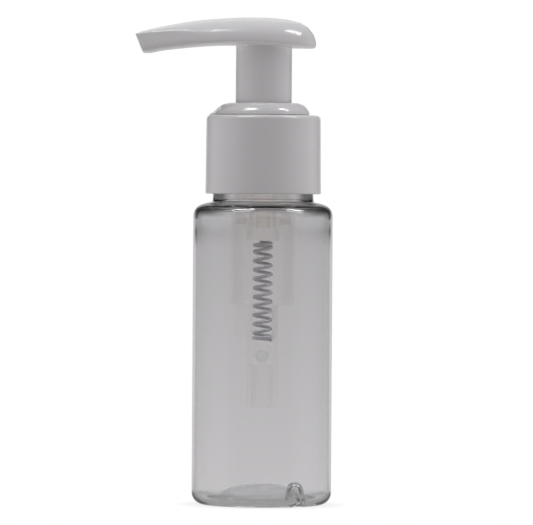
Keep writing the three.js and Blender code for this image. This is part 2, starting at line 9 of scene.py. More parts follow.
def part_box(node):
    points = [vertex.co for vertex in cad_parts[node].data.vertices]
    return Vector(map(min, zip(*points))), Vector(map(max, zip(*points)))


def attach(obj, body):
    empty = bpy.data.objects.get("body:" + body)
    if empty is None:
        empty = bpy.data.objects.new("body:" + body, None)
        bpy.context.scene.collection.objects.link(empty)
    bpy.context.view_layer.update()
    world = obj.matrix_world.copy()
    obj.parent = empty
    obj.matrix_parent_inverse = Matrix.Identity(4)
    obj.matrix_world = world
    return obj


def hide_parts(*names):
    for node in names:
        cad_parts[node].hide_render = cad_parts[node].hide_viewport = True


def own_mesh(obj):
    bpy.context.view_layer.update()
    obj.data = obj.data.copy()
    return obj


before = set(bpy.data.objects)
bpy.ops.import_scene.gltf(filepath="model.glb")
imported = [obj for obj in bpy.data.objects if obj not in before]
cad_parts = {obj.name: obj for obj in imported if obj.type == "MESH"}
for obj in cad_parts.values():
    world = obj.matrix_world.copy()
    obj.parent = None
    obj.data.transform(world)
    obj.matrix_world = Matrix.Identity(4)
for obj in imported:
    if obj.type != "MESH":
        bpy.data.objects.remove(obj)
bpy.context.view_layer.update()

MM = 0.001
b_lo, b_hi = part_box("bottle")
AX = (b_lo.x + b_hi.x) / 2  # the bottle's own axis
AY = (b_lo.y + b_hi.y) / 2
BODY_R = (b_hi.y - b_lo.y) / 2 / MM
FINISH_Z = b_hi.z / MM
c_lo, c_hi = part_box("closure")
CAP_Z0, CAP_Z1 = c_lo.z / MM, c_hi.z / MM
h_lo, h_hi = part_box("actuator_head")
TIP_X = (h_lo.x - AX) / MM
REAR_X = (h_hi.x - AX) / MM
TWO_PI = 2 * math.pi


# ------------------------------------------------------------ mesh helpers
def make_object(name, verts, faces, sharp_deg=40.0):
    """verts in millimetres about the bottle's axis."""
    me = bpy.data.meshes.new(name)
    co = np.asarray(verts, float) * MM + np.array([AX, AY, 0.0])
    me.from_pydata([tuple(v) for v in co], [], [tuple(f) for f in faces])
    me.validate()
    bm = bmesh.new()
    bm.from_mesh(me)
    bmesh.ops.remove_doubles(bm, verts=bm.verts, dist=2e-7)
    bmesh.ops.recalc_face_normals(bm, faces=bm.faces)
    bm.to_mesh(me)
    bm.free()
    ob = bpy.data.objects.new(name, me)
    bpy.context.scene.collection.objects.link(ob)
    shade(ob, sharp_deg)
    return ob


def shade(ob, sharp_deg=40.0):
    me = ob.data
    bm = bmesh.new()
    bm.from_mesh(me)
    lim = math.radians(sharp_deg)
    for f in bm.faces:
        f.smooth = True
    for e in bm.edges:
        e.smooth = not (len(e.link_faces) == 2 and e.calc_face_angle(0) > lim)
    bm.to_mesh(me)
    bm.free()
    me.update()


def rounded(points, seg_len=0.18, guard=0.12):
    """A polyline of (r, z) or (r, z, fillet radius), with each fillet drawn as an arc
    and a support point just off each end of it."""
    pts = [(p[0], p[1], p[2] if len(p) > 2 else 0.0) for p in points]
    out = []
    n = len(pts)
    for i, (r, z, rad) in enumerate(pts):
        if rad <= 0 or i == 0 or i == n - 1:
            out.append((r, z))
            continue
        a = np.array(pts[i - 1][:2]) - np.array([r, z])
        b = np.array(pts[i + 1][:2]) - np.array([r, z])
        la, lb = np.linalg.norm(a), np.linalg.norm(b)
        a, b = a / la, b / lb
        ang = math.acos(max(-1, min(1, float(a @ b))))
        if ang > math.pi - 1e-3:
            out.append((r, z))
            continue
        t = min(rad / math.tan(ang / 2), 0.49 * la, 0.49 * lb)
        rr = t * math.tan(ang / 2)
        mid = a + b
        mid /= np.linalg.norm(mid)
        c = np.array([r, z]) + mid * (rr / math.sin(ang / 2))
        p0, p1 = np.array([r, z]) + a * t, np.array([r, z]) + b * t
        sweep = math.pi - ang
        k = max(4, int(math.ceil(sweep * rr / seg_len)))
        k = min(k, 14)
        u, v = p0 - c, p1 - c
        g0 = p0 + a * min(guard, 0.3 * (la - t) if la > t else 0)
        g1 = p1 + b * min(guard, 0.3 * (lb - t) if lb > t else 0)
        out.append(tuple(g0))
        for s in range(k + 1):
            f = s / k
            w0 = math.sin((1 - f) * sweep) / math.sin(sweep) if sweep > 1e-4 else 1 - f
            w1 = math.sin(f * sweep) / math.sin(sweep) if sweep > 1e-4 else f
            out.append(tuple(c + u * w0 + v * w1))
        out.append(tuple(g1))
    clean = [out[0]]
    for p in out[1:]:
        if math.hypot(p[0] - clean[-1][0], p[1] - clean[-1][1]) > 1e-3:
            clean.append(p)
    return clean


def subdivide(points, longest):
    """Adds points along the straight stretches of a profile."""
    out = [points[0]]
    for p in points[1:]:
        q = out[-1]
        d = math.hypot(p[0] - q[0], p[1] - q[1])
        k = max(1, int(math.ceil(d / longest)))
        for s in range(1, k + 1):
            out.append((q[0] + (p[0] - q[0]) * s / k, q[1] + (p[1] - q[1]) * s / k))
    return out


def lathe(profile, segs=160, move=None, fine=None):
    """verts, faces of a turned solid. A profile that starts and ends on the axis is closed
    there, any other closes on itself. move(points, profile index) may displace the points."""
    on_axis = profile[0][0] < 1e-9 and profile[-1][0] < 1e-9
    ang = np.arange(segs) / segs * TWO_PI
    if fine:
        # a sector (centre, half width, steps) set closer than the rest
        mid, half, steps = fine
        off = np.abs(np.arctan2(np.sin(ang - mid), np.cos(ang - mid)))
        ang = np.concatenate([ang[off > half * 1.02], mid + np.linspace(-half, half, steps)]) % TWO_PI
        ang.sort()
        segs = len(ang)
    verts, start, idx = [], [], []
    for i, (r, z) in enumerate(profile):
        start.append(len(verts))
        if r < 1e-9:
            verts.append((0.0, 0.0, z))
            idx.append(i)
        else:
            for a in ang:
                verts.append((r * math.cos(a), r * math.sin(a), z))
                idx.append(i)
    faces = []
    m = len(profile)
    for i in range(m if not on_axis else m - 1):
        j = (i + 1) % m
        a_pole, b_pole = profile[i][0] < 1e-9, profile[j][0] < 1e-9
        if a_pole and b_pole:
            continue
        for k in range(segs):
            l = (k + 1) % segs
            if a_pole:
                faces.append((start[i], start[j] + k, start[j] + l))
            elif b_pole:
                faces.append((start[i] + k, start[i] + l, start[j]))
            else:
                faces.append((start[i] + k, start[i] + l, start[j] + l, start[j] + k))
    v = np.array(verts, float)
    if move is not None:
        v = move(v, np.array(idx))
    return v, faces


def hermite(table, x):
    """Smooth interpolation through a table of (x, y), monotone between its points."""
    t = np.array(table, float)
    X, Y = t[:, 0], t[:, 1]
    d = np.diff(Y) / np.diff(X)
    m = np.zeros(len(X))
    m[0], m[-1] = d[0], d[-1]
    for i in range(1, len(X) - 1):
        if d[i - 1] * d[i] > 0:
            w1 = 2 * (X[i + 1] - X[i]) + (X[i] - X[i - 1])
            w2 = (X[i + 1] - X[i]) + 2 * (X[i] - X[i - 1])
            m[i] = (w1 + w2) / (w1 / d[i - 1] + w2 / d[i])
    x = np.clip(np.asarray(x, float), X[0], X[-1])
    i = np.clip(np.searchsorted(X, x, side="right") - 1, 0, len(X) - 2)
    h = X[i + 1] - X[i]
    s = (x - X[i]) / h
    return (
        Y[i] * (1 + 2 * s) * (1 - s) ** 2
        + m[i] * h * s * (1 - s) ** 2
        + Y[i + 1] * s * s * (3 - 2 * s)
        - m[i + 1] * h * s * s * (1 - s)
    )


def smooth(t):
    c = np.clip(t, 0, 1)
    return c * c * (3 - 2 * c)


def thread_height(theta, z, z0, pitch, t0, t1, crest_half, root_half):
    """0..1 height of a helical ridge whose centre line is z0 + pitch * turns."""
    best = np.zeros(len(theta))
    base = theta / TWO_PI
    for k in range(int(math.floor(t0)) - 1, int(math.ceil(t1)) + 2):
        turn = base + k
        inside = (turn >= t0) & (turn <= t1)
        u = np.clip((turn - t0) / (t1 - t0), 0, 1)
        fade = smooth(u / 0.09) * smooth((1 - u) / 0.09)
        d = np.abs(z - (z0 + pitch * turn))
        h = smooth((root_half - d) / (root_half - crest_half)) * fade * inside
        best = np.maximum(best, h)
    return best


def boolean(ob, other, operation):
    mod = ob.modifiers.new("b", "BOOLEAN")
    mod.operation = operation
    mod.solver = "EXACT"
    mod.object = other
    bpy.context.view_layer.update()
    dg = bpy.context.evaluated_depsgraph_get()
    me = bpy.data.meshes.new_from_object(ob.evaluated_get(dg))
    ob.modifiers.clear()
    old = ob.data
    ob.data = me
    bpy.data.meshes.remove(old)
    bpy.data.objects.remove(other)


def finish_piece(ob, body, nodes, material):
    ob.data.materials.clear()
    ob.data.materials.append(material)
    for p in ob.data.polygons:
        p.material_index = 0
    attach(ob, body)
    if nodes:
        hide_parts(*nodes)
    return ob


# ------------------------------------------------------------ materials
def new_material(name):
    m = bpy.data.materials.new(name)
    m.use_nodes = True
    nt = m.node_tree
    nt.nodes.clear()
    out = nt.nodes.new("ShaderNodeOutputMaterial")
    return m, nt, out


def node(nt, kind, **values):
    n = nt.nodes.new(kind)
    for k, v in values.items():
        if k in n.inputs:
            n.inputs[k].default_value = v
        else:
            setattr(n, k, v)
    return n


def coords(nt, scale=(1, 1, 1)):
    tc = node(nt, "ShaderNodeTexCoord")
    mp = node(nt, "ShaderNodeMapping")
    mp.inputs["Scale"].default_value = scale
    nt.links.new(tc.outputs["Object"], mp.inputs["Vector"])
    return mp.outputs["Vector"]


def ramp(nt, fac, stops):
    r = node(nt, "ShaderNodeValToRGB")
    r.color_ramp.elements[0].position = stops[0][0]
    r.color_ramp.elements[0].color = stops[0][1]
    r.color_ramp.elements[1].position = stops[-1][0]
    r.color_ramp.elements[1].color = stops[-1][1]
    for p, c in stops[1:-1]:
        e = r.color_ramp.elements.new(p)
        e.color = c
    nt.links.new(fac, r.inputs["Fac"])
    return r.outputs["Color"]


def math_node(nt, op, a, b=None):
    n = node(nt, "ShaderNodeMath")
    n.operation = op
    for i, v in enumerate((a, b)):
        if v is None:
            continue
        if isinstance(v, (int, float)):
            n.inputs[i].default_value = v
        else:
            nt.links.new(v, n.inputs[i])
    return n.outputs[0]


def moulded(name, colour, dark, rough, peel=0.02, sss=0.0, grain_scale=900):
    """Moulded plastic: slight colour drift, uneven gloss and a faint orange peel."""
    m, nt, out = new_material(name)
    p = node(nt, "ShaderNodeBsdfPrincipled")
    v = coords(nt)
    drift = node(nt, "ShaderNodeTexNoise", Scale=70.0, Detail=2.0)
    nt.links.new(v, drift.inputs["Vector"])
    col = ramp(nt, drift.outputs["Fac"], [(0.35, (*dark, 1)), (0.65, (*colour, 1))])
    nt.links.new(col, p.inputs["Base Color"])
    gloss = node(nt, "ShaderNodeTexNoise", Scale=220.0, Detail=3.0)
    nt.links.new(v, gloss.inputs["Vector"])
    rr = node(nt, "ShaderNodeMapRange")
    rr.inputs["To Min"].default_value = rough - 0.04
    rr.inputs["To Max"].default_value = rough + 0.05
    nt.links.new(gloss.outputs["Fac"], rr.inputs["Value"])
    nt.links.new(rr.outputs["Result"], p.inputs["Roughness"])
    peel_n = node(nt, "ShaderNodeTexNoise", Scale=float(grain_scale), Detail=2.0)
    nt.links.new(v, peel_n.inputs["Vector"])
    bump = node(nt, "ShaderNodeBump", Strength=peel, Distance=0.0002)
    nt.links.new(peel_n.outputs["Fac"], bump.inputs["Height"])
    nt.links.new(bump.outputs["Normal"], p.inputs["Normal"])
    p.inputs["IOR"].default_value = 1.49
    if sss:
        p.inputs["Subsurface Weight"].default_value = sss
        p.inputs["Subsurface Radius"].default_value = (1.0, 0.9, 0.85)
        p.inputs["Subsurface Scale"].default_value = 0.0012
    nt.links.new(p.outputs[0], out.inputs["Surface"])
    return m


def step01(nt, value, low, high):
    r = node(nt, "ShaderNodeMapRange", interpolation_type="SMOOTHSTEP")
    r.inputs["From Min"].default_value = low
    r.inputs["From Max"].default_value = high
    nt.links.new(value, r.inputs["Value"])
    return r.outputs["Result"]


def clear_plastic(name, tint_low, tint_high, z0, z1, ior, rough):
    """Clear blown plastic with a faint grey tint that goes from tint_low at height z0 to tint_high at height z1, and
    painted shade at the edges of the thick neck and outer shoulder.
    """
    m, nt, out = new_material(name)
    p = node(nt, "ShaderNodeBsdfPrincipled")
    tc = node(nt, "ShaderNodeTexCoord")
    sep = node(nt, "ShaderNodeSeparateXYZ")
    nt.links.new(tc.outputs["Object"], sep.inputs[0])
    wave = node(nt, "ShaderNodeTexNoise", Scale=38.0, Detail=1.0)
    nt.links.new(tc.outputs["Object"], wave.inputs["Vector"])
    mr = node(nt, "ShaderNodeMapRange")
    mr.inputs["From Min"].default_value = z0 * MM
    mr.inputs["From Max"].default_value = z1 * MM
    nt.links.new(sep.outputs["Z"], mr.inputs["Value"])
    fac = math_node(nt, "ADD", mr.outputs["Result"], math_node(nt, "MULTIPLY", math_node(nt, "SUBTRACT", wave.outputs["Fac"], 0.5), 0.10))
    col = ramp(nt, fac, [(0.0, (*tint_low, 1)), (1.0, (*tint_high, 1))])
    # painted shade: the neck and the outer shoulder are thick, and where the wall is seen along its length their tint
    # is darkened, standing in for the dark edges there
    geo = node(nt, "ShaderNodeNewGeometry")
    ns = node(nt, "ShaderNodeSeparateXYZ")
    nt.links.new(geo.outputs["Normal"], ns.inputs[0])
    vs = node(nt, "ShaderNodeSeparateXYZ")
    nt.links.new(geo.outputs["Incoming"], vs.inputs[0])
    cross = math_node(nt, "ABSOLUTE", math_node(nt, "SUBTRACT", math_node(nt, "MULTIPLY", ns.outputs["X"], vs.outputs["Y"]), math_node(nt, "MULTIPLY", ns.outputs["Y"], vs.outputs["X"])))
    n_flat = math_node(nt, "SQRT", math_node(nt, "ADD", math_node(nt, "POWER", ns.outputs["X"], 2.0), math_node(nt, "POWER", ns.outputs["Y"], 2.0)))
    v_flat = math_node(nt, "SQRT", math_node(nt, "ADD", math_node(nt, "POWER", vs.outputs["X"], 2.0), math_node(nt, "POWER", vs.outputs["Y"], 2.0)))
    aside = math_node(nt, "DIVIDE", cross, math_node(nt, "MAXIMUM", math_node(nt, "MULTIPLY", n_flat, v_flat), 1e-4))
    up = sep.outputs["Z"]
    shoulder_painted_shade = math_node(nt, "MULTIPLY", step01(nt, up, 67.9 * MM, 69.8 * MM), math_node(nt, "SUBTRACT", 1.0, step01(nt, up, 71.75 * MM, 71.95 * MM)))
    shoulder_painted_shade = math_node(nt, "MULTIPLY", math_node(nt, "MULTIPLY", shoulder_painted_shade, step01(nt, aside, 0.44, 0.80)), 0.96)
    neck_painted_shade = math_node(nt, "MULTIPLY", math_node(nt, "MULTIPLY", step01(nt, up, 71.95 * MM, 72.15 * MM), step01(nt, aside, 0.62, 0.82)), 0.9)
    first = node(nt, "ShaderNodeLightPath")
    # the painted shade is applied only where a camera ray first meets the wall
    painted_edge_shade = math_node(nt, "MULTIPLY", math_node(nt, "MAXIMUM", shoulder_painted_shade, neck_painted_shade), first.outputs["Is Camera Ray"])
    shaded_tint = node(nt, "ShaderNodeVectorMath", operation="SCALE")
    nt.links.new(col, shaded_tint.inputs[0])
    nt.links.new(math_node(nt, "SUBTRACT", 1.0, painted_edge_shade), shaded_tint.inputs["Scale"])
    nt.links.new(shaded_tint.outputs[0], p.inputs["Base Color"])
    p.inputs["Transmission Weight"].default_value = 1.0
    p.inputs["Roughness"].default_value = rough
    p.inputs["IOR"].default_value = ior
    fine = node(nt, "ShaderNodeTexNoise", Scale=160.0, Detail=1.0)
    nt.links.new(tc.outputs["Object"], fine.inputs["Vector"])
    bump = node(nt, "ShaderNodeBump", Strength=0.012, Distance=0.0002)
    nt.links.new(fine.outputs["Fac"], bump.inputs["Height"])
    nt.links.new(bump.outputs["Normal"], p.inputs["Normal"])
    tr = node(nt, "ShaderNodeBsdfTransparent")
    nt.links.new(col, tr.inputs["Color"])
    # the thick push-up under the bottle is a little hazy and uneven
    flat = math_node(nt, "SQRT", math_node(nt, "ADD", math_node(nt, "POWER", math_node(nt, "SUBTRACT", sep.outputs["X"], AX), 2.0), math_node(nt, "POWER", sep.outputs["Y"], 2.0)))
    within = node(nt, "ShaderNodeMapRange", interpolation_type="SMOOTHSTEP")
    within.inputs["From Min"].default_value = 0.0135
    within.inputs["From Max"].default_value = 0.0115
    nt.links.new(flat, within.inputs["Value"])
    under = node(nt, "ShaderNodeMapRange", interpolation_type="SMOOTHSTEP")
    under.inputs["From Min"].default_value = 0.0066
    under.inputs["From Max"].default_value = 0.0056
    nt.links.new(sep.outputs["Z"], under.inputs["Value"])
    blotch = node(nt, "ShaderNodeTexNoise", Scale=210.0, Detail=2.0)
    nt.links.new(tc.outputs["Object"], blotch.inputs["Vector"])
    cloud = node(nt, "ShaderNodeMapRange")
    cloud.inputs["From Min"].default_value = 0.3
    cloud.inputs["From Max"].default_value = 0.7
    cloud.inputs["To Min"].default_value = 0.22
    cloud.inputs["To Max"].default_value = 0.32
    nt.links.new(blotch.outputs["Fac"], cloud.inputs["Value"])
    haze = math_node(nt, "MULTIPLY", math_node(nt, "MULTIPLY", within.outputs["Result"], under.outputs["Result"]), cloud.outputs["Result"])
    milky = node(nt, "ShaderNodeBsdfTranslucent", Color=(0.9, 0.9, 0.9, 1))
    milky2 = node(nt, "ShaderNodeBsdfDiffuse", Color=(0.9, 0.9, 0.9, 1))
    milk = node(nt, "ShaderNodeMixShader", Fac=0.5)
    nt.links.new(milky.outputs[0], milk.inputs[1])
    nt.links.new(milky2.outputs[0], milk.inputs[2])
    wall = node(nt, "ShaderNodeMixShader")
    nt.links.new(haze, wall.inputs["Fac"])
    nt.links.new(p.outputs[0], wall.inputs[1])
    nt.links.new(milk.outputs[0], wall.inputs[2])
    lp = node(nt, "ShaderNodeLightPath")
    through = math_node(nt, "MAXIMUM", lp.outputs["Is Shadow Ray"], lp.outputs["Is Diffuse Ray"])
    mix = node(nt, "ShaderNodeMixShader")
    nt.links.new(through, mix.inputs["Fac"])
    nt.links.new(wall.outputs[0], mix.inputs[1])
    nt.links.new(tr.outputs[0], mix.inputs[2])
    nt.links.new(mix.outputs[0], out.inputs["Surface"])
    return m


def translucent_plastic(name, body, clear, milk, glow=0.15, skin=0.12, rough=0.12, ior=1.49, thick=None):
    """Natural polypropylene: mostly lets light through, with a thin milky haze, a glossy skin and a painted glow, an
    emission of strength glow in the milky part.
    """
    m, nt, out = new_material(name)
    v = coords(nt)
    haze = node(nt, "ShaderNodeTexNoise", Scale=140.0, Detail=2.0)
    nt.links.new(v, haze.inputs["Vector"])
    dif = node(nt, "ShaderNodeBsdfDiffuse", Color=(*body, 1))
    tl = node(nt, "ShaderNodeBsdfTranslucent", Color=(*body, 1))
    both = node(nt, "ShaderNodeMixShader", Fac=0.5)
    nt.links.new(dif.outputs[0], both.inputs[1])
    nt.links.new(tl.outputs[0], both.inputs[2])
    # painted glow: an emission in the body colour, standing in for light that has wandered inside the milky wall
    painted_glow = node(nt, "ShaderNodeEmission", Color=(*body, 1), Strength=glow)
    half = node(nt, "ShaderNodeAddShader")
    nt.links.new(both.outputs[0], half.inputs[0])
    nt.links.new(painted_glow.outputs[0], half.inputs[1])
    tr = node(nt, "ShaderNodeBsdfTransparent", Color=(*clear, 1))
    mr = node(nt, "ShaderNodeMapRange")
    mr.inputs["To Min"].default_value = milk * 0.85
    mr.inputs["To Max"].default_value = milk * 1.15
    nt.links.new(haze.outputs["Fac"], mr.inputs["Value"])
    lw = node(nt, "ShaderNodeLayerWeight", Blend=0.28)
    edge = math_node(nt, "MULTIPLY", math_node(nt, "POWER", lw.outputs["Facing"], 3.0), milk * 1.5)
    fac = math_node(nt, "ADD", mr.outputs["Result"], edge)
    if thick:  # (height in mm, factor): below this height the wall is thicker and milkier
        place = node(nt, "ShaderNodeTexCoord")
        split = node(nt, "ShaderNodeSeparateXYZ")
        nt.links.new(place.outputs["Object"], split.inputs[0])
        for height, factor in thick:
            low = node(nt, "ShaderNodeMapRange")
            low.inputs["From Min"].default_value = (height - 0.15) * MM
            low.inputs["From Max"].default_value = (height + 0.15) * MM
            low.inputs["To Min"].default_value = factor
            low.inputs["To Max"].default_value = 1.0
            nt.links.new(split.outputs["Z"], low.inputs["Value"])
            fac = math_node(nt, "MULTIPLY", fac, low.outputs["Result"])
    a = node(nt, "ShaderNodeMixShader")
    nt.links.new(fac, a.inputs["Fac"])
    nt.links.new(tr.outputs[0], a.inputs[1])
    nt.links.new(half.outputs[0], a.inputs[2])
    gl = node(nt, "ShaderNodeBsdfGlossy", Roughness=rough)
    fr = node(nt, "ShaderNodeFresnel", IOR=ior)
    b = node(nt, "ShaderNodeMixShader")
    lp = node(nt, "ShaderNodeLightPath")
    not_shadow = math_node(nt, "SUBTRACT", 1.0, lp.outputs["Is Shadow Ray"])
    nt.links.new(math_node(nt, "MULTIPLY", math_node(nt, "MULTIPLY", fr.outputs[0], skin), not_shadow), b.inputs["Fac"])
    nt.links.new(a.outputs[0], b.inputs[1])
    nt.links.new(gl.outputs[0], b.inputs[2])
    nt.links.new(b.outputs[0], out.inputs["Surface"])
    return m


def metal(name, colour, rough, scratch=300.0, metallic=1.0):
    m, nt, out = new_material(name)
    p = node(nt, "ShaderNodeBsdfPrincipled", Metallic=metallic)
    v = coords(nt)
    n = node(nt, "ShaderNodeTexNoise", Scale=scratch, Detail=4.0)
    nt.links.new(v, n.inputs["Vector"])
    col = ramp(nt, n.outputs["Fac"], [(0.3, (*[c * 0.85 for c in colour], 1)), (0.7, (*colour, 1))])
    nt.links.new(col, p.inputs["Base Color"])
    rr = node(nt, "ShaderNodeMapRange")
    rr.inputs["To Min"].default_value = rough * 0.8
    rr.inputs["To Max"].default_value = rough * 1.3
    nt.links.new(n.outputs["Fac"], rr.inputs["Value"])
    nt.links.new(rr.outputs["Result"], p.inputs["Roughness"])
    nt.links.new(p.outputs[0], out.inputs["Surface"])
    return m


M_WHITE = moulded("white_pp", (0.80, 0.785, 0.79), (0.793, 0.778, 0.784), 0.17)
M_FOAM = moulded("gasket_foam", (0.80, 0.79, 0.75), (0.70, 0.69, 0.66), 0.85, peel=0.5, grain_scale=2400)
# the bottle's tint is darker towards the top
M_BOTTLE = clear_plastic("bottle_pet", (0.965, 0.962, 0.965), (0.83, 0.826, 0.83), 5, 75, 1.57, 0.015)
# glow sets each part's painted glow, an emission standing in for light scattered inside the milky plastic
M_HOUSING = translucent_plastic("natural_pp", (0.93, 0.92, 0.90), (0.996, 0.994, 0.991), 0.012, glow=0.30, skin=0.06, thick=[(38.7, 2.2), (25.2, 2.5)])
M_STEM = translucent_plastic("stem_pp", (0.93, 0.92, 0.90), (0.998, 0.995, 0.99), 0.012, glow=0.34, skin=0.1)
M_ROD = translucent_plastic("rod_pp", (0.93, 0.92, 0.90), (0.99, 0.985, 0.975), 0.015, glow=0.34, skin=0.1)
M_PISTON = translucent_plastic("piston_pe", (0.93, 0.92, 0.90), (0.998, 0.995, 0.99), 0.010, glow=0.34, skin=0.1)
M_TUBE = translucent_plastic("tube_pe", (0.93, 0.93, 0.92), (0.999, 0.999, 0.997), 0.006, glow=0.34, skin=0.06)
M_SPRING = metal("spring_steel", (0.80, 0.80, 0.85), 0.42, metallic=0.2)
M_BALL = translucent_plastic("ball_glass", (0.72, 0.86, 0.90), (0.965, 0.985, 0.985), 0.05, glow=0.22, skin=0.12)

# ------------------------------------------------------------ bottle
PITCH = 3.175
THREAD_Z = 80.6
HEEL_R = 2.9
SH_Z = 71.8
WALL_TOP = 1.0
STEP_TOP = 74.6
NECK_R = 10.95
BORE_R = 9.9
NOTCH = math.radians(-52.5)
NOTCH_R = 12.8


# outer shoulder, from the body up to the foot of the neck
SHOULDER = [(BODY_R, 68.2), (BODY_R - 0.05, 68.9), (16.42, 69.5), (16.2, 70.05), (15.88, 70.52), (15.45, 70.9), (14.95, 71.2), (14.4, 71.43), (13.7, 71.66), (13.0, 71.84), (12.4, 71.97)]


def flow(points, gap):
    """Points at an even spacing along a smooth curve through the given ones."""
    p = np.array([points[0], *points, points[-1]], float)
    p[0] = 2 * p[1] - p[2]
    p[-1] = 2 * p[-2] - p[-3]
    out = []
    for i in range(1, len(p) - 2):
        k = max(2, int(math.ceil(np.linalg.norm(p[i + 1] - p[i]) / gap)))
        for t in np.arange(k) / k:
            a = -0.5 * p[i - 1] + 1.5 * p[i] - 1.5 * p[i + 1] + 0.5 * p[i + 2]
            b = p[i - 1] - 2.5 * p[i] + 2 * p[i + 1] - 0.5 * p[i + 2]
            out.append(((a * t + b) * t + 0.5 * (p[i + 1] - p[i - 1])) * t + p[i])
    out.append(p[-2])
    return [tuple(q) for q in out]


def inset(points, t0, t1):
    """The same curve moved inward by a thickness that goes from t0 to t1."""
    p = np.array(points)
    d = np.gradient(p, axis=0)
    d /= np.linalg.norm(d, axis=1)[:, None]
    t = np.linspace(t0, t1, len(p))[:, None]
    return [tuple(q) for q in p - t * np.stack([d[:, 1], -d[:, 0]], 1)]


def dome(r, top, reach, power):
    return top * (1 - (r / reach) ** power)


outer = [(r, dome(r, 4.0, 13.0, 2.6)) for r in np.concatenate([np.arange(0, 10, 0.4), np.arange(10, 12.2, 0.14)])]
outer += rounded([(12.25, dome(12.25, 4.0, 13.0, 2.6)), (12.98, 0.0, 0.6), (13.4, 0.0)], 0.1)[1:]
outer += [(r, 0.0) for r in np.arange(13.5, BODY_R - HEEL_R + 0.01, 0.1)]
outer += [
    (BODY_R - HEEL_R + HEEL_R * math.cos(a), HEEL_R + HEEL_R * math.sin(a))
    for a in np.radians(np.linspace(-88, 0, 30))
]
outer += [(BODY_R, HEEL_R + 0.25)]
outer += [(BODY_R, z) for z in np.linspace(HEEL_R + 3, 65.0, 12)]
shoulder = flow(SHOULDER, 0.14)
outer += [(BODY_R, 67.9)] + shoulder
outer += rounded(
    [
        shoulder[-1],
        (12.06, 72.06, 0.3),
        (11.99, 72.6, 0.5),
        (11.95, 73.4, 1.0),
        (11.92, 74.2, 0.5),
        (11.90, STEP_TOP, 0.15),
        (NECK_R, STEP_TOP + 0.5, 0.3),
        (NECK_R, STEP_TOP + 1.2),
    ],
    0.12,
)[1:]
outer += [(NECK_R, z) for z in np.arange(STEP_TOP + 1.4, FINISH_Z - 0.7, 0.2)]
outer += rounded([(NECK_R, FINISH_Z - 0.6), (NECK_R, FINISH_Z, 0.35), (BORE_R, FINISH_Z, 0.3), (BORE_R, FINISH_Z - 0.8)], 0.1)
N_OUTER = len(outer)
IR = BODY_R - 0.8
ceiling = inset(shoulder, 0.8, WALL_TOP)
# next to the neck the inside repeats the outside, set in and down, so the wall stays parallel for a level view
ceiling = [c for p, c in zip(shoulder, ceiling) if p[0] > 15.2] + [(p[0] - 1.0, p[1] - 0.78) for p in shoulder if p[0] < 14.75]
inner = [(BORE_R, z) for z in np.linspace(FINISH_Z - 1.2, SH_Z + 1.2, 10)]
inner += rounded([(BORE_R, SH_Z + 1.0), (BORE_R, ceiling[-1][1] + 0.2, 0.25), ceiling[-1]], 0.12)[1:]
inner += ceiling[::-1][1:]
inner += [(IR, 67.9)]
inner += [(IR, z) for z in np.linspace(65.0, 7, 12)]
inner += [(IR, 3.4)]
inner += [
    (IR - 2.1 + 2.1 * math.cos(a), 3.1 + 2.1 * math.sin(a))
    for a in np.radians(np.linspace(0, -84, 24))
]
inner += rounded([(13.6, 1.0), (13.05, 0.98, 0.9), (12.2, dome(12.2, 4.9, 14.1, 2.6))], 0.1)[1:]
inner += [(r, dome(r, 4.9, 14.1, 2.6)) for r in np.concatenate([np.arange(12.05, 9.4, -0.15), np.arange(9.2, 0.2, -0.4)])] + [(0, 4.9)]
bottle_profile = outer + inner


def bottle_move(v, i):
    theta = np.arctan2(v[:, 1], v[:, 0])
    r = np.hypot(v[:, 0], v[:, 1])
    # the neck thread
    neck = (i < N_OUTER) & (v[:, 2] > STEP_TOP + 0.9) & (np.abs(r - NECK_R) < 0.02)
    h = thread_height(theta, v[:, 2], THREAD_Z, PITCH, 0.0, 1.3, 0.5, 1.1)
    k = np.where(neck, 1 + h * (11.9 - NECK_R) / NECK_R, 1.0)
    v[:, 0] *= k
    v[:, 1] *= k
    # the index notch, a soft dent in the heel
    c, s = math.cos(NOTCH), math.sin(NOTCH)
    along = v[:, 0] * c + v[:, 1] * s
    across = -v[:, 0] * s + v[:, 1] * c
    inside = i >= N_OUTER
    rho2 = ((along - NOTCH_R) / np.where(inside, 2.4, 1.6)) ** 2 + (across / np.where(inside, 2.3, 1.5)) ** 2
    crown = 0.9 + np.where(inside, 4.95, 4.0) * np.sqrt(np.clip(1 - rho2 ** 1.5, 0, 1))
    z = v[:, 2]
    soft = 0.35
    g = (crown - z) / soft
    risen = z + soft * np.where(g > 20, g, np.log1p(np.exp(np.clip(g, -20, 20))))
    blend = smooth((1.5 - rho2) / 0.6)
    v[:, 2] = np.where((z < 7) & (rho2 < 1.5), z + (risen - z) * blend, z)
    return v


bottle = make_object("bottle_clear", *lathe(bottle_profile, 220, bottle_move, (NOTCH, 0.26, 48)), sharp_deg=80)
finish_piece(bottle, "bottle_body", ["bottle"], M_BOTTLE)

# ------------------------------------------------------------ closure
CAP_LOW, CAP_HIGH, CAP_IN, CAP_PLATE, CAP_HOLE = 13.75, 13.58, 12.35, 90.5, 7.9
cap = rounded(
    [
        (CAP_IN, CAP_Z0 + 3.0),
        (CAP_IN, CAP_Z0, 0.28),
        (CAP_LOW, CAP_Z0, 0.32),
        (CAP_HIGH, CAP_Z1, 1.0),
        (CAP_HOLE, CAP_Z1, 0.2),
        (CAP_HOLE, CAP_PLATE),
        (CAP_IN, CAP_PLATE, 0.3),
        (CAP_IN, 84.6),
    ],
    0.1,
)
cap_inner = [(CAP_IN, z) for z in np.arange(84.4, CAP_Z0 + 3.1, -0.2)]
N_CAP = len(cap)


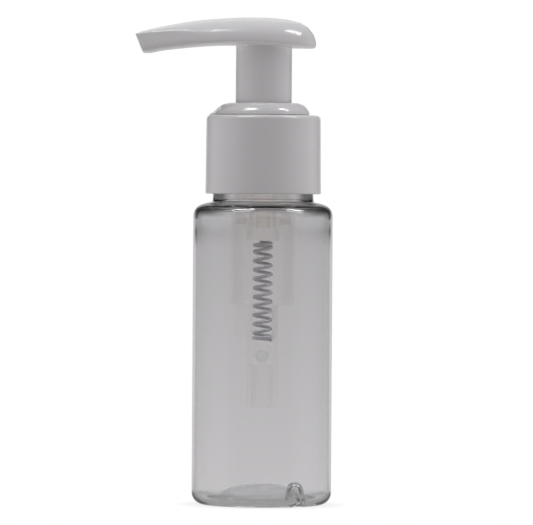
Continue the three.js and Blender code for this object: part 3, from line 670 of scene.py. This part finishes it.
def cap_move(v, i):
    theta = np.arctan2(v[:, 1], v[:, 0])
    h = thread_height(theta, v[:, 2], THREAD_Z + PITCH / 2, PITCH, -1.0, 0.15, 0.35, 0.78)
    k = np.where(i >= N_CAP, 1 - h * (CAP_IN - 11.3) / CAP_IN, 1.0)
    v[:, 0] *= k
    v[:, 1] *= k
    return v


closure = make_object("closure_white", *lathe(cap + cap_inner, 200, cap_move), sharp_deg=60)
finish_piece(closure, "closure_body", ["closure"], M_WHITE)

# ------------------------------------------------------------ lock collar
C_R, C_Z0, C_Z1 = 11.0, 92.75, 95.5
collar_profile = rounded(
    [
        (6.95, 90.0),
        (6.95, C_Z0),
        (7.4, C_Z0),
        (7.4, 94.2),
        (6.95, 94.5),
        (6.95, C_Z1, 0.3),
        (8.35, C_Z1, 0.9),
        (9.25, 95.22, 0.9),
        (9.85, 94.78, 1.2),
        (10.35, 94.25, 1.2),
        (10.75, 93.6, 1.2),
        (C_R, C_Z0, 0.12),
        (7.6, C_Z0),
        (7.6, 76.15, 0.3),
        (3.3, 76.15),
        (3.3, 77.3),
        (6.95, 77.3),
    ],
    0.12,
)


TOE = [(92.7, 13.25), (92.85, 12.85), (93.1, 12.35), (93.4, 11.9), (93.9, 11.35), (94.4, 10.8), (94.85, 10.2), (95.1, 9.85), (95.3, 9.3)]


def collar_move(v, i):
    theta = np.arctan2(v[:, 1], v[:, 0])
    r = np.hypot(v[:, 0], v[:, 1])
    away = np.abs(np.arctan2(np.sin(theta - math.pi), np.cos(theta - math.pi))) * 11
    side = smooth((2.9 - away) / 0.55)
    skin = (v[:, 2] > C_Z0 - 0.01) & (r > 9.0)
    reach = np.maximum(hermite(TOE, v[:, 2]), r)
    k = np.where(skin, 1 + side * (reach / np.maximum(r, 1e-6) - 1), 1.0)
    v[:, 0] *= k
    v[:, 1] *= k
    return v


collar = make_object("lock_collar_white", *lathe(subdivide(collar_profile, 0.7), 200, collar_move, (math.pi, 0.32, 40)), sharp_deg=50)
for side in (1, -1):
    # keyways for the head's lugs
    w, y0, y1, z0, z1 = 1.2, 6.3, 7.4, 80.85, 93.2
    box_v = [(sx * w, side * y, z) for z in (z0, z1) for y in (y0, y1) for sx in (-1, 1)]
    box_f = [(0, 1, 3, 2), (4, 6, 7, 5), (0, 4, 5, 1), (2, 3, 7, 6), (0, 2, 6, 4), (1, 5, 7, 3)]
    key = make_object("key", box_v, box_f)
    boolean(collar, key, "DIFFERENCE")
shade(collar, 50)
finish_piece(collar, "pump_core", ["lock_collar"], M_WHITE)

# ------------------------------------------------------------ actuator head
HEAD_TOP = [(-30.6, 111.8), (-28.78, 112.47), (-25.93, 113.2), (-23.07, 113.82), (-20.22, 114.35), (-17.37, 114.84), (-14.51, 115.21), (-11.66, 115.45), (-8.8, 115.65), (-5.95, 115.8), (-3.09, 115.87), (-0.24, 115.84), (2.62, 115.7), (5.48, 115.4), (6.91, 115.11), (8.34, 114.72), (9.05, 114.44), (9.77, 114.04), (10.49, 113.48), (11.21, 112.67), (11.93, 111.52), (12.3, 110.3), (12.38, 109.8)]
HEAD_BOTTOM = [(-30.6, 107.3), (-28.74, 107.35), (-27.32, 107.5), (-24.46, 107.9), (-21.61, 108.26), (-18.76, 108.58), (-15.9, 108.86), (-13.05, 109.06), (-10.19, 109.18), (-7.34, 109.2), (-3, 109.1), (3, 108.82), (6.59, 108.6), (11.2, 108.56), (11.9, 108.64), (12.2, 108.85), (12.38, 109.3)]
HEAD_HALF = [(-30.6, 5.2), (-27, 5.55), (-22, 6.1), (-16, 6.8), (-10, 7.45), (-5, 7.85), (-1, 8.0), (2, 7.8), (4.5, 7.3), (6.5, 6.6), (8.2, 5.75), (9.7, 4.7), (10.9, 3.45), (11.7, 2.3), (12.2, 1.2), (12.38, 0.35)]
HEAD_RIDGE = [(-30.6, 111.70), (-26, 112.0), (-22, 112.1), (-18.5, 111.7), (-14, 110.6), (-10, 110.15), (-5, 110.0), (0, 109.9), (6, 109.9), (9, 109.9), (11.3, 109.85), (12.1, 109.75), (12.38, 109.55)]
HEAD_N_TOP = 2.4
HEAD_N_LOW = [(-30.6, 6.0), (-24, 6.0), (-17, 5.0), (-12, 3.6), (-8, 2.8), (12.38, 2.6)]


def head_ring(x, n, shrink=1.0):
    top, bottom = float(hermite(HEAD_TOP, x)), float(hermite(HEAD_BOTTOM, x))
    half, ridge = float(hermite(HEAD_HALF, x)), float(hermite(HEAD_RIDGE, x))
    ridge = min(max(ridge, bottom + 0.2 * (top - bottom)), top - 0.02 * (top - bottom))
    nt, nl = HEAD_N_TOP, float(hermite(HEAD_N_LOW, x))
    out = []
    mid = (top + bottom) / 2
    for k in range(n):
        # even steps along the outline of the box that the section fills
        t = TWO_PI * k / n
        c, s = math.cos(t), math.sin(t)
        up = s >= 0
        h, p = (top - ridge, nt) if up else (ridge - bottom, nl)
        # direction from the widest line's centre, stretched to the section's own shape
        dy, dz = c * half, s * h
        rho = (abs(c) ** p + abs(s) ** p) ** (-1 / p)
        y, z = dy * rho, ridge + dz * rho
        y, z = y * shrink, mid + (z - mid) * shrink
        # the section widens a little from its top to its foot
        y *= 1 + (0.09 + 0.03 * float(smooth((-12 - x) / 8))) * (1 - 2 * (z - bottom) / (top - bottom))
        lean = float(smooth((-24 - x) / 6)) * 1.85 * ((top - z) / (top - bottom))
        out.append((x + lean, y, z))
    return out


ring_n = 144
stations = [(TIP_X, 0.90), (TIP_X + 0.03, 0.955), (TIP_X + 0.12, 0.985), (TIP_X + 0.3, 1.0)]
stations += [(x, 1.0) for x in np.arange(TIP_X + 0.8, 4.0, 0.55)]
stations += [(x, 1.0) for x in 4.0 + (12.38 - 4.0) * np.sin(np.linspace(0.03, math.pi / 2, 34))]
hv = []
for x, sh in stations:
    hv += head_ring(float(x), ring_n, sh)
hf = []
for i in range(len(stations) - 1):
    for k in range(ring_n):
        l = (k + 1) % ring_n
        hf.append((i * ring_n + k, i * ring_n + l, (i + 1) * ring_n + l, (i + 1) * ring_n + k))
hf.append(tuple(range(ring_n)))
hf.append(tuple(range((len(stations) - 1) * ring_n, len(stations) * ring_n)))
head = make_object("actuator_head_white", hv, hf)

skirt_profile = rounded(
    [
        (0, 89.5),
        (6.68, 89.5, 0.25),
        (6.68, 111.0),
        (0, 111.0),
    ],
    0.1,
)
boolean(head, make_object("skirt", *lathe(subdivide(skirt_profile, 3.0), 160)), "UNION")
inside_profile = [
    (0, 89.0),
    (5.9, 89.0),
    (5.9, 108.4),
    (4.3, 108.4),
    (4.3, 99.0),
    (3.36, 99.0),
    (3.06, 99.3),
    (3.06, 107.6),
    (1.7, 107.6),
    (1.7, 112.2),
    (0, 112.2),
]
boolean(head, make_object("inside", *lathe(inside_profile, 96)), "DIFFERENCE")
for side in (1, -1):
    lug_v = []
    for z, r1 in ((92.95, 7.2), (94.05, 7.2), (94.35, 6.72)):
        for r in (6.2, r1):
            for u in (-0.9, 0.9):
                lug_v.append((u, side * math.sqrt(r * r - u * u), z))
    lug_f = [(0, 1, 3, 2), (8, 10, 11, 9)]
    for a in (0, 4):
        lug_f += [(a, a + 2, a + 6, a + 4), (a + 1, a + 5, a + 7, a + 3), (a + 2, a + 3, a + 7, a + 6), (a, a + 4, a + 5, a + 1)]
    boolean(head, make_object("lug", lug_v, lug_f), "UNION")
pipe = lathe([(0, 0), (1.15, 0), (1.15, 34.0), (0, 34.0)], 48)
pv = pipe[0]
a = math.pi / 2
px = -pv[:, 2] + 0.0
pipe_v = np.stack([px, pv[:, 1], pv[:, 0]], 1)
t = -0.07
rot = np.array([[math.cos(t), 0, math.sin(t)], [0, 1, 0], [-math.sin(t), 0, math.cos(t)]])
pipe_v = pipe_v @ rot.T + np.array([0.6, 0, 111.75])
boolean(head, make_object("pipe", pipe_v, pipe[1]), "DIFFERENCE")
shade(head, 42)
finish_piece(head, "actuator", ["actuator_head"], M_WHITE)

# ------------------------------------------------------------ pump housing
housing_profile = rounded(
    [
        (7.75, 84.0),
        (7.75, 76.0, 0.3),
        (6.9, 75.0, 0.3),
        (6.9, 48.7, 0.8),
        (3.0, 48.7, 0.3),
        (3.0, 38.7),
        (1.25, 38.7),
        (1.25, 38.25),
        (2.1, 37.9),
        (2.1, 35.25),
        (1.0, 34.15),
        (1.0, 33.2),
        (2.6, 33.2),
        (2.6, 23.2, 0.2),
        (3.95, 23.2, 0.2),
        (3.95, 25.1, 0.12),
        (3.8, 25.3),
        (3.8, 47.4, 0.4),
        (7.6, 47.4, 1.1),
        (7.6, 69.9, 0.3),
        (8.35, 70.6, 0.3),
        (8.35, 89.35),
        (11.6, 89.35),
        (11.6, 90.35),
        (7.75, 90.35),
    ],
    0.12,
)
housing = make_object("pump_housing_natural", *lathe(housing_profile, 144), sharp_deg=45)
for deg in (180, 60, -60):
    a = math.radians(deg)
    outline = [(3.45, 47.9), (3.45, 39.0), (4.3, 39.4), (5.05, 39.4)]
    outline += [(5.05 + 1.3 * math.cos(q), 40.7 + 1.3 * math.sin(q)) for q in np.radians(np.linspace(-80, 0, 8))]
    outline += [(6.35, 47.9)]
    rv, rf = [], []
    k = len(outline)
    for y in (-0.5, 0.5):
        rv += [(r * math.cos(a) - y * math.sin(a), r * math.sin(a) + y * math.cos(a), z) for r, z in outline]
    rf = [tuple(range(k)), tuple(range(2 * k - 1, k - 1, -1))]
    rf += [(i, (i + 1) % k, (i + 1) % k + k, i + k) for i in range(k)]
    boolean(housing, make_object("rib", rv, rf), "UNION")
shade(housing, 45)
finish_piece(housing, "pump_core", ["pump_housing"], M_HOUSING)

# ------------------------------------------------------------ plunger, piston
stem_profile = rounded(
    [
        (1.7, 66.5),
        (1.7, 65.9),
        (3.0, 65.9, 0.15),
        (3.0, 74.9),
        (4.4, 74.9, 0.15),
        (4.4, 75.95, 0.3),
        (3.0, 75.95),
        (3.0, 107.5, 0.2),
        (1.7, 107.5),
    ],
    0.1,
)
stem = make_object("pump_stem_tube", *lathe(stem_profile, 72), sharp_deg=45)
finish_piece(stem, "actuator", ["pump_stem"], M_STEM)

rod_profile = rounded(
    [
        (0, 57.2),
        (1.0, 57.2, 0.2),
        (1.4, 57.8, 0.3),
        (1.4, 62.9),
        (3.9, 62.9, 0.3),
        (3.9, 65.8, 0.3),
        (1.62, 65.8),
        (1.62, 69.2, 0.3),
        (1.2, 69.6, 0.1),
        (0, 69.6),
    ],
    0.1,
)
rod = make_object("valve_rod_natural", *lathe(rod_profile, 72), sharp_deg=45)
finish_piece(rod, "plunger", ["valve_rod"], M_ROD)

piston_profile = rounded(
    [
        (3.3, 70.0),
        (3.3, 65.9),
        (4.6, 65.9, 0.1),
        (4.6, 68.9, 0.3),
        (5.9, 68.2, 0.4),
        (6.25, 66.6),
        (6.75, 66.6, 0.1),
        (6.75, 67.6, 0.3),
        (6.5, 69.4, 0.5),
        (6.5, 71.2, 0.5),
        (6.75, 73.0, 0.3),
        (6.75, 73.9, 0.1),
        (6.25, 73.9),
        (5.9, 72.4, 0.4),
        (4.6, 71.7, 0.3),
        (4.6, 73.9, 0.1),
        (3.3, 73.9),
    ],
    0.1,
)
piston = make_object("piston_natural", *lathe(piston_profile, 96), sharp_deg=45)
finish_piece(piston, "piston_body", ["piston"], M_PISTON)

# ------------------------------------------------------------ return spring
s_lo, s_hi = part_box("return_spring")
S_Z0, S_Z1 = s_lo.z / MM, s_hi.z / MM
WIRE, COIL, OPEN, CLOSED = 0.40, 2.0, 9.8, 1.25
low, high, cp = S_Z0 + WIRE, S_Z1 - WIRE, 2 * WIRE + 0.06
turns = OPEN + 2 * CLOSED
rise = high - low - 2 * CLOSED * cp
steps, sides = int(turns * 44), 14
sv, sf = [], []
for i in range(steps + 1):
    turn = turns * i / steps
    f = min(max(turn - CLOSED, 0), OPEN)
    # the pitch opens and closes smoothly
    z = low + (turn - f) * cp + (f / OPEN) * rise
    a = turn * TWO_PI
    slope = (rise / OPEN if 0 < f < OPEN else cp) / (TWO_PI * COIL)
    n = math.hypot(1, slope)
    for k in range(sides):
        q = TWO_PI * k / sides
        er, eb = WIRE * math.cos(q), WIRE * math.sin(q)
        # binormal of the helix
        tx, ty, tz = -math.sin(a) / n, math.cos(a) / n, slope / n
        bx, by, bz = math.sin(a) * slope / n, -math.cos(a) * slope / n, 1 / n
        sv.append(((COIL + er) * math.cos(a) + bx * eb, (COIL + er) * math.sin(a) + by * eb, z + bz * eb))
for i in range(steps):
    for k in range(sides):
        l = (k + 1) % sides
        sf.append((i * sides + k, i * sides + l, (i + 1) * sides + l, (i + 1) * sides + k))
sf.append(tuple(range(sides)))
sf.append(tuple(range(steps * sides, (steps + 1) * sides)))
spring = make_object("return_spring_wire", sv, sf, sharp_deg=60)
finish_piece(spring, "pump_core", ["return_spring"], M_SPRING)
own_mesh(spring)

# ------------------------------------------------------------ inlet ball
bl_lo, bl_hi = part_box("inlet_ball")
bc = (bl_lo + bl_hi) / 2
me = bpy.data.meshes.new("inlet_ball_glass")
bm = bmesh.new()
bmesh.ops.create_icosphere(bm, subdivisions=4, radius=1.5 * MM)
bmesh.ops.translate(bm, verts=bm.verts, vec=bc)
for f in bm.faces:
    f.smooth = True
bm.to_mesh(me)
bm.free()
ball = bpy.data.objects.new("inlet_ball_glass", me)
bpy.context.scene.collection.objects.link(ball)
finish_piece(ball, "ball_body", ["inlet_ball"], M_BALL)

# ------------------------------------------------------------ gasket, dip tube
gasket_profile = rounded(
    [(8.6, 88.7), (8.6, 88.3, 0.15), (11.55, 88.3, 0.2), (11.55, 89.25, 0.2), (8.6, 89.25, 0.15), (8.6, 88.9)], 0.08
)
gasket = make_object("neck_gasket_foam", *lathe(gasket_profile, 120), sharp_deg=50)
finish_piece(gasket, "pump_core", ["neck_gasket"], M_FOAM)
tube_profile = rounded(
    [(1.75, 30.0), (1.75, 23.3, 0.1), (2.54, 23.3, 0.1), (2.54, 33.1, 0.1), (1.75, 33.1, 0.1), (1.75, 31.0)], 0.08
)
tube = make_object("dip_tube_stub", *lathe(tube_profile, 72), sharp_deg=50)
finish_piece(tube, "pump_core", ["dip_tube"], M_TUBE)

# ------------------------------------------------------------ studio levels
BACK_FULL, BACK_END = 19.0, 28.0  # degrees either side of straight behind
BACK = 0.63
FLOOR_GLOSS, FLOOR_NEAR = 0.42, 0.34
SIDE_L, SIDE_R, TOP = 0.47, 0.61, 2.55  # what matt surfaces gather
FLOOR_BASE, FLOOR_SIDE = 0.19, 1.22
GLASS_SIDE, GLASS_TOP, GLASS_DARK = 0.42, 0.10, 0.045  # what gloss and glass see
SOFT_L, SOFT_R = 9.0, 7.5

# ------------------------------------------------------------ world
world = bpy.data.worlds.new("studio")
bpy.context.scene.world = world
world.use_nodes = True
wn = world.node_tree
wn.nodes.clear()
wout = wn.nodes.new("ShaderNodeOutputWorld")
tc = wn.nodes.new("ShaderNodeTexCoord")
sp = wn.nodes.new("ShaderNodeSeparateXYZ")
wn.links.new(tc.outputs["Generated"], sp.inputs[0])


def wmath(op, a, b=None):
    return math_node(wn, op, a, b)


X, Y, Z = sp.outputs["X"], sp.outputs["Y"], sp.outputs["Z"]


def ramp01(nt, value, low, high):
    r = node(nt, "ShaderNodeMapRange")
    r.interpolation_type = "SMOOTHSTEP"
    r.inputs["From Min"].default_value = low
    r.inputs["From Max"].default_value = high
    nt.links.new(value, r.inputs["Value"])
    return r.outputs["Result"]


def turn_cos(nt, x, y):
    """Cosine of the angle, seen from above, away from straight behind the object."""
    flat = math_node(nt, "SQRT", math_node(nt, "ADD", math_node(nt, "MULTIPLY", x, x), math_node(nt, "MULTIPLY", y, y)))
    return math_node(nt, "DIVIDE", y, math_node(nt, "MAXIMUM", flat, 1e-5))


def back_patch(nt, c, full, end):
    return ramp01(nt, c, math.cos(math.radians(end)), math.cos(math.radians(full)))


def side_patch(nt, c):
    out = math_node(nt, "SUBTRACT", 1.0, ramp01(nt, c, math.cos(math.radians(64)), math.cos(math.radians(48))))
    return math_node(nt, "MULTIPLY", out, ramp01(nt, c, -0.85, -0.45))


side_l = wmath("POWER", wmath("MAXIMUM", wmath("MULTIPLY", X, -1.0), 0.0), 6.0)
side_r = wmath("POWER", wmath("MAXIMUM", X, 0.0), 6.0)
turned = turn_cos(wn, X, Y)
middle = ramp01(wn, turned, math.cos(math.radians(24)), math.cos(math.radians(12)))
low_card = wmath("SUBTRACT", 1.0, ramp01(wn, Z, math.sin(math.radians(4)), math.sin(math.radians(11))))
high_card = wmath("SUBTRACT", 1.0, ramp01(wn, Z, math.sin(math.radians(45)), math.sin(math.radians(62))))
low_back = wmath("MAXIMUM", low_card, wmath("MULTIPLY", middle, high_card))
back = wmath("MULTIPLY", back_patch(wn, turned, BACK_FULL, BACK_END), low_back)
up = wmath("POWER", wmath("MAXIMUM", Z, 0.0), 4.0)
lpw = wn.nodes.new("ShaderNodeLightPath")
matt = lpw.outputs["Is Diffuse Ray"]
soft_env = wmath("MULTIPLY", side_l, SIDE_L)
soft_env = wmath("ADD", soft_env, wmath("MULTIPLY", side_r, SIDE_R))
soft_env = wmath("ADD", soft_env, wmath("MULTIPLY", back, BACK))
soft_env = wmath("ADD", soft_env, wmath("MULTIPLY", up, TOP))
soft_env = wmath("ADD", soft_env, 0.03)
gloss_env = wmath("MULTIPLY", wmath("MULTIPLY", side_patch(wn, turned), low_back), GLASS_SIDE)
gloss_env = wmath("ADD", gloss_env, wmath("MULTIPLY", back, BACK))
gloss_env = wmath("ADD", gloss_env, wmath("MULTIPLY", up, GLASS_TOP))
gloss_env = wmath("ADD", gloss_env, GLASS_DARK)


def choose(nt, which, zero, one):
    """zero where which is 0, one where it is 1."""
    return math_node(nt, "ADD", math_node(nt, "MULTIPLY", which, one), math_node(nt, "MULTIPLY", math_node(nt, "SUBTRACT", 1.0, which), zero))


total = choose(wn, matt, gloss_env, soft_env)
bg_env = wn.nodes.new("ShaderNodeBackground")
bg_env.inputs["Color"].default_value = (0.985, 0.985, 1.0, 1)
wn.links.new(total, bg_env.inputs["Strength"])
bg_cam = wn.nodes.new("ShaderNodeBackground")
bg_cam.inputs["Color"].default_value = (1, 1, 1, 1)
wmx = wn.nodes.new("ShaderNodeMixShader")
wn.links.new(lpw.outputs["Is Camera Ray"], wmx.inputs["Fac"])
wn.links.new(bg_env.outputs[0], wmx.inputs[1])
wn.links.new(bg_cam.outputs[0], wmx.inputs[2])
wn.links.new(wmx.outputs[0], wout.inputs["Surface"])


def softbox(name, direction, size, power, distance=1.4):
    """A strip light aimed at the object, its long side as near to left-right as it can be."""
    d = Vector(direction).normalized()
    data = bpy.data.lights.new(name, "AREA")
    data.shape = "RECTANGLE"
    data.size, data.size_y = size
    data.energy = power
    o = bpy.data.objects.new(name, data)
    bpy.context.scene.collection.objects.link(o)
    across = (Vector((1, 0, 0)) - d * d.x).normalized()
    turn = Matrix((across, d.cross(across), d)).transposed().to_4x4()
    o.matrix_world = Matrix.Translation(Vector((AX, 0, 0.08)) + d * distance) @ turn
    o.visible_camera = False
    o.visible_diffuse = False
    return o


softbox("strip_left", (-0.42, -0.31, 0.85), (0.72, 0.22), SOFT_L)
softbox("strip_right", (0.64, -0.17, 0.75), (0.62, 0.22), SOFT_R)

# ------------------------------------------------------------ floor
fm, fnt, fout = new_material("studio_floor")
tc = node(fnt, "ShaderNodeTexCoord")
mp = node(fnt, "ShaderNodeMapping")
mp.inputs["Location"].default_value = (-AX, 0, 0)
fnt.links.new(tc.outputs["Object"], mp.inputs["Vector"])
ln = node(fnt, "ShaderNodeVectorMath")
ln.operation = "LENGTH"
fnt.links.new(mp.outputs["Vector"], ln.inputs[0])
# painted contact shadow: for camera rays the floor's white is dimmed to 0.88 close around the bottle's foot, fading out
# by about 22 mm from its axis
mr = node(fnt, "ShaderNodeMapRange")
mr.interpolation_type = "SMOOTHERSTEP"
mr.inputs["From Min"].default_value = 0.0145
mr.inputs["From Max"].default_value = 0.0225
mr.inputs["To Min"].default_value = 0.88
mr.inputs["To Max"].default_value = 1.0
fnt.links.new(ln.outputs["Value"], mr.inputs["Value"])
floor_cam_painted_shadow = node(fnt, "ShaderNodeEmission")
fnt.links.new(mr.outputs["Result"], floor_cam_painted_shadow.inputs["Strength"])
floor_cam_painted_shadow.inputs["Color"].default_value = (1, 1, 1, 1)
em_oth = node(fnt, "ShaderNodeEmission")
em_oth.inputs["Color"].default_value = (1.0, 0.985, 1.0, 1)
fs = node(fnt, "ShaderNodeSeparateXYZ")
fnt.links.new(mp.outputs["Vector"], fs.inputs[0])
fx, fy = fs.outputs["X"], fs.outputs["Y"]
fxx = math_node(fnt, "MULTIPLY", fx, fx)
fyy = math_node(fnt, "MULTIPLY", fy, fy)
spread = math_node(fnt, "DIVIDE", fxx, math_node(fnt, "ADD", math_node(fnt, "ADD", fxx, fyy), 0.06 * 0.06))
fturned = turn_cos(fnt, fx, fy)
far = ramp01(fnt, ln.outputs["Value"], 6.0, 12.0)
around = ramp01(fnt, ln.outputs["Value"], 0.15, 0.7)
edge = choose(fnt, around, back_patch(fnt, fturned, 8.0, 66.0), back_patch(fnt, fturned, 29.0, 35.0))
wide = math_node(fnt, "MULTIPLY", edge, math_node(fnt, "SUBTRACT", 1.0, far))
behind = math_node(fnt, "MULTIPLY", math_node(fnt, "MAXIMUM", wide, back_patch(fnt, fturned, BACK_FULL, BACK_END)), BACK)

glow = math_node(fnt, "ADD", math_node(fnt, "MULTIPLY", spread, FLOOR_SIDE), FLOOR_BASE)
ahead = ramp01(fnt, fturned, -0.8, -0.2)
sheen = math_node(fnt, "ADD", math_node(fnt, "MULTIPLY", ahead, FLOOR_GLOSS - 0.28), 0.28)
sheen = math_node(fnt, "ADD", math_node(fnt, "MULTIPLY", sheen, math_node(fnt, "SUBTRACT", 1.0, far)), math_node(fnt, "MULTIPLY", far, GLASS_DARK))
near = math_node(fnt, "SUBTRACT", 1.0, ramp01(fnt, ln.outputs["Value"], 0.05, 0.25))
sheen = math_node(fnt, "MAXIMUM", sheen, math_node(fnt, "MULTIPLY", near, FLOOR_NEAR))
lp = node(fnt, "ShaderNodeLightPath")
level = math_node(fnt, "MAXIMUM", choose(fnt, lp.outputs["Is Diffuse Ray"], sheen, glow), behind)
fnt.links.new(level, em_oth.inputs["Strength"])
mx = node(fnt, "ShaderNodeMixShader")
fnt.links.new(lp.outputs["Is Camera Ray"], mx.inputs["Fac"])
fnt.links.new(em_oth.outputs[0], mx.inputs[1])
fnt.links.new(floor_cam_painted_shadow.outputs[0], mx.inputs[2])
fnt.links.new(mx.outputs[0], fout.inputs["Surface"])
fme = bpy.data.meshes.new("floor")
S = 12.0
fme.from_pydata([(-S, -S, -0.00005), (S, -S, -0.00005), (S, S, -0.00005), (-S, S, -0.00005)], [], [(0, 1, 2, 3)])
floor = bpy.data.objects.new("floor", fme)
bpy.context.scene.collection.objects.link(floor)
fme.materials.append(fm)

# ------------------------------------------------------------ camera
DIST = 1.2
cam_data = bpy.data.cameras.new("camera")
cam_data.sensor_width = 36.0
cam_data.lens = 36.0 * DIST / 0.1269
cam_data.clip_start, cam_data.clip_end = 0.01, 100.0
camera = bpy.data.objects.new("camera", cam_data)
bpy.context.scene.collection.objects.link(camera)
target = Vector((AX + 0.0009, 0, 0.0576))
camera.location = Vector((AX + 0.0009, -DIST, 0.072))
camera.rotation_mode = "QUATERNION"
aim = (target - camera.location).to_track_quat("-Z", "Y")
roll = Matrix.Rotation(math.radians(0.37), 4, "Z").to_quaternion()
camera.rotation_quaternion = aim @ roll
bpy.context.scene.camera = camera

scene = bpy.context.scene
scene.view_settings.view_transform = "Standard"
scene.view_settings.look = "None"
scene.cycles.max_bounces = 24
scene.cycles.transmission_bounces = 16
scene.cycles.transparent_max_bounces = 32
scene.cycles.glossy_bounces = 8
scene.cycles.diffuse_bounces = 4
scene.cycles.caustics_reflective = False
scene.cycles.caustics_refractive = False
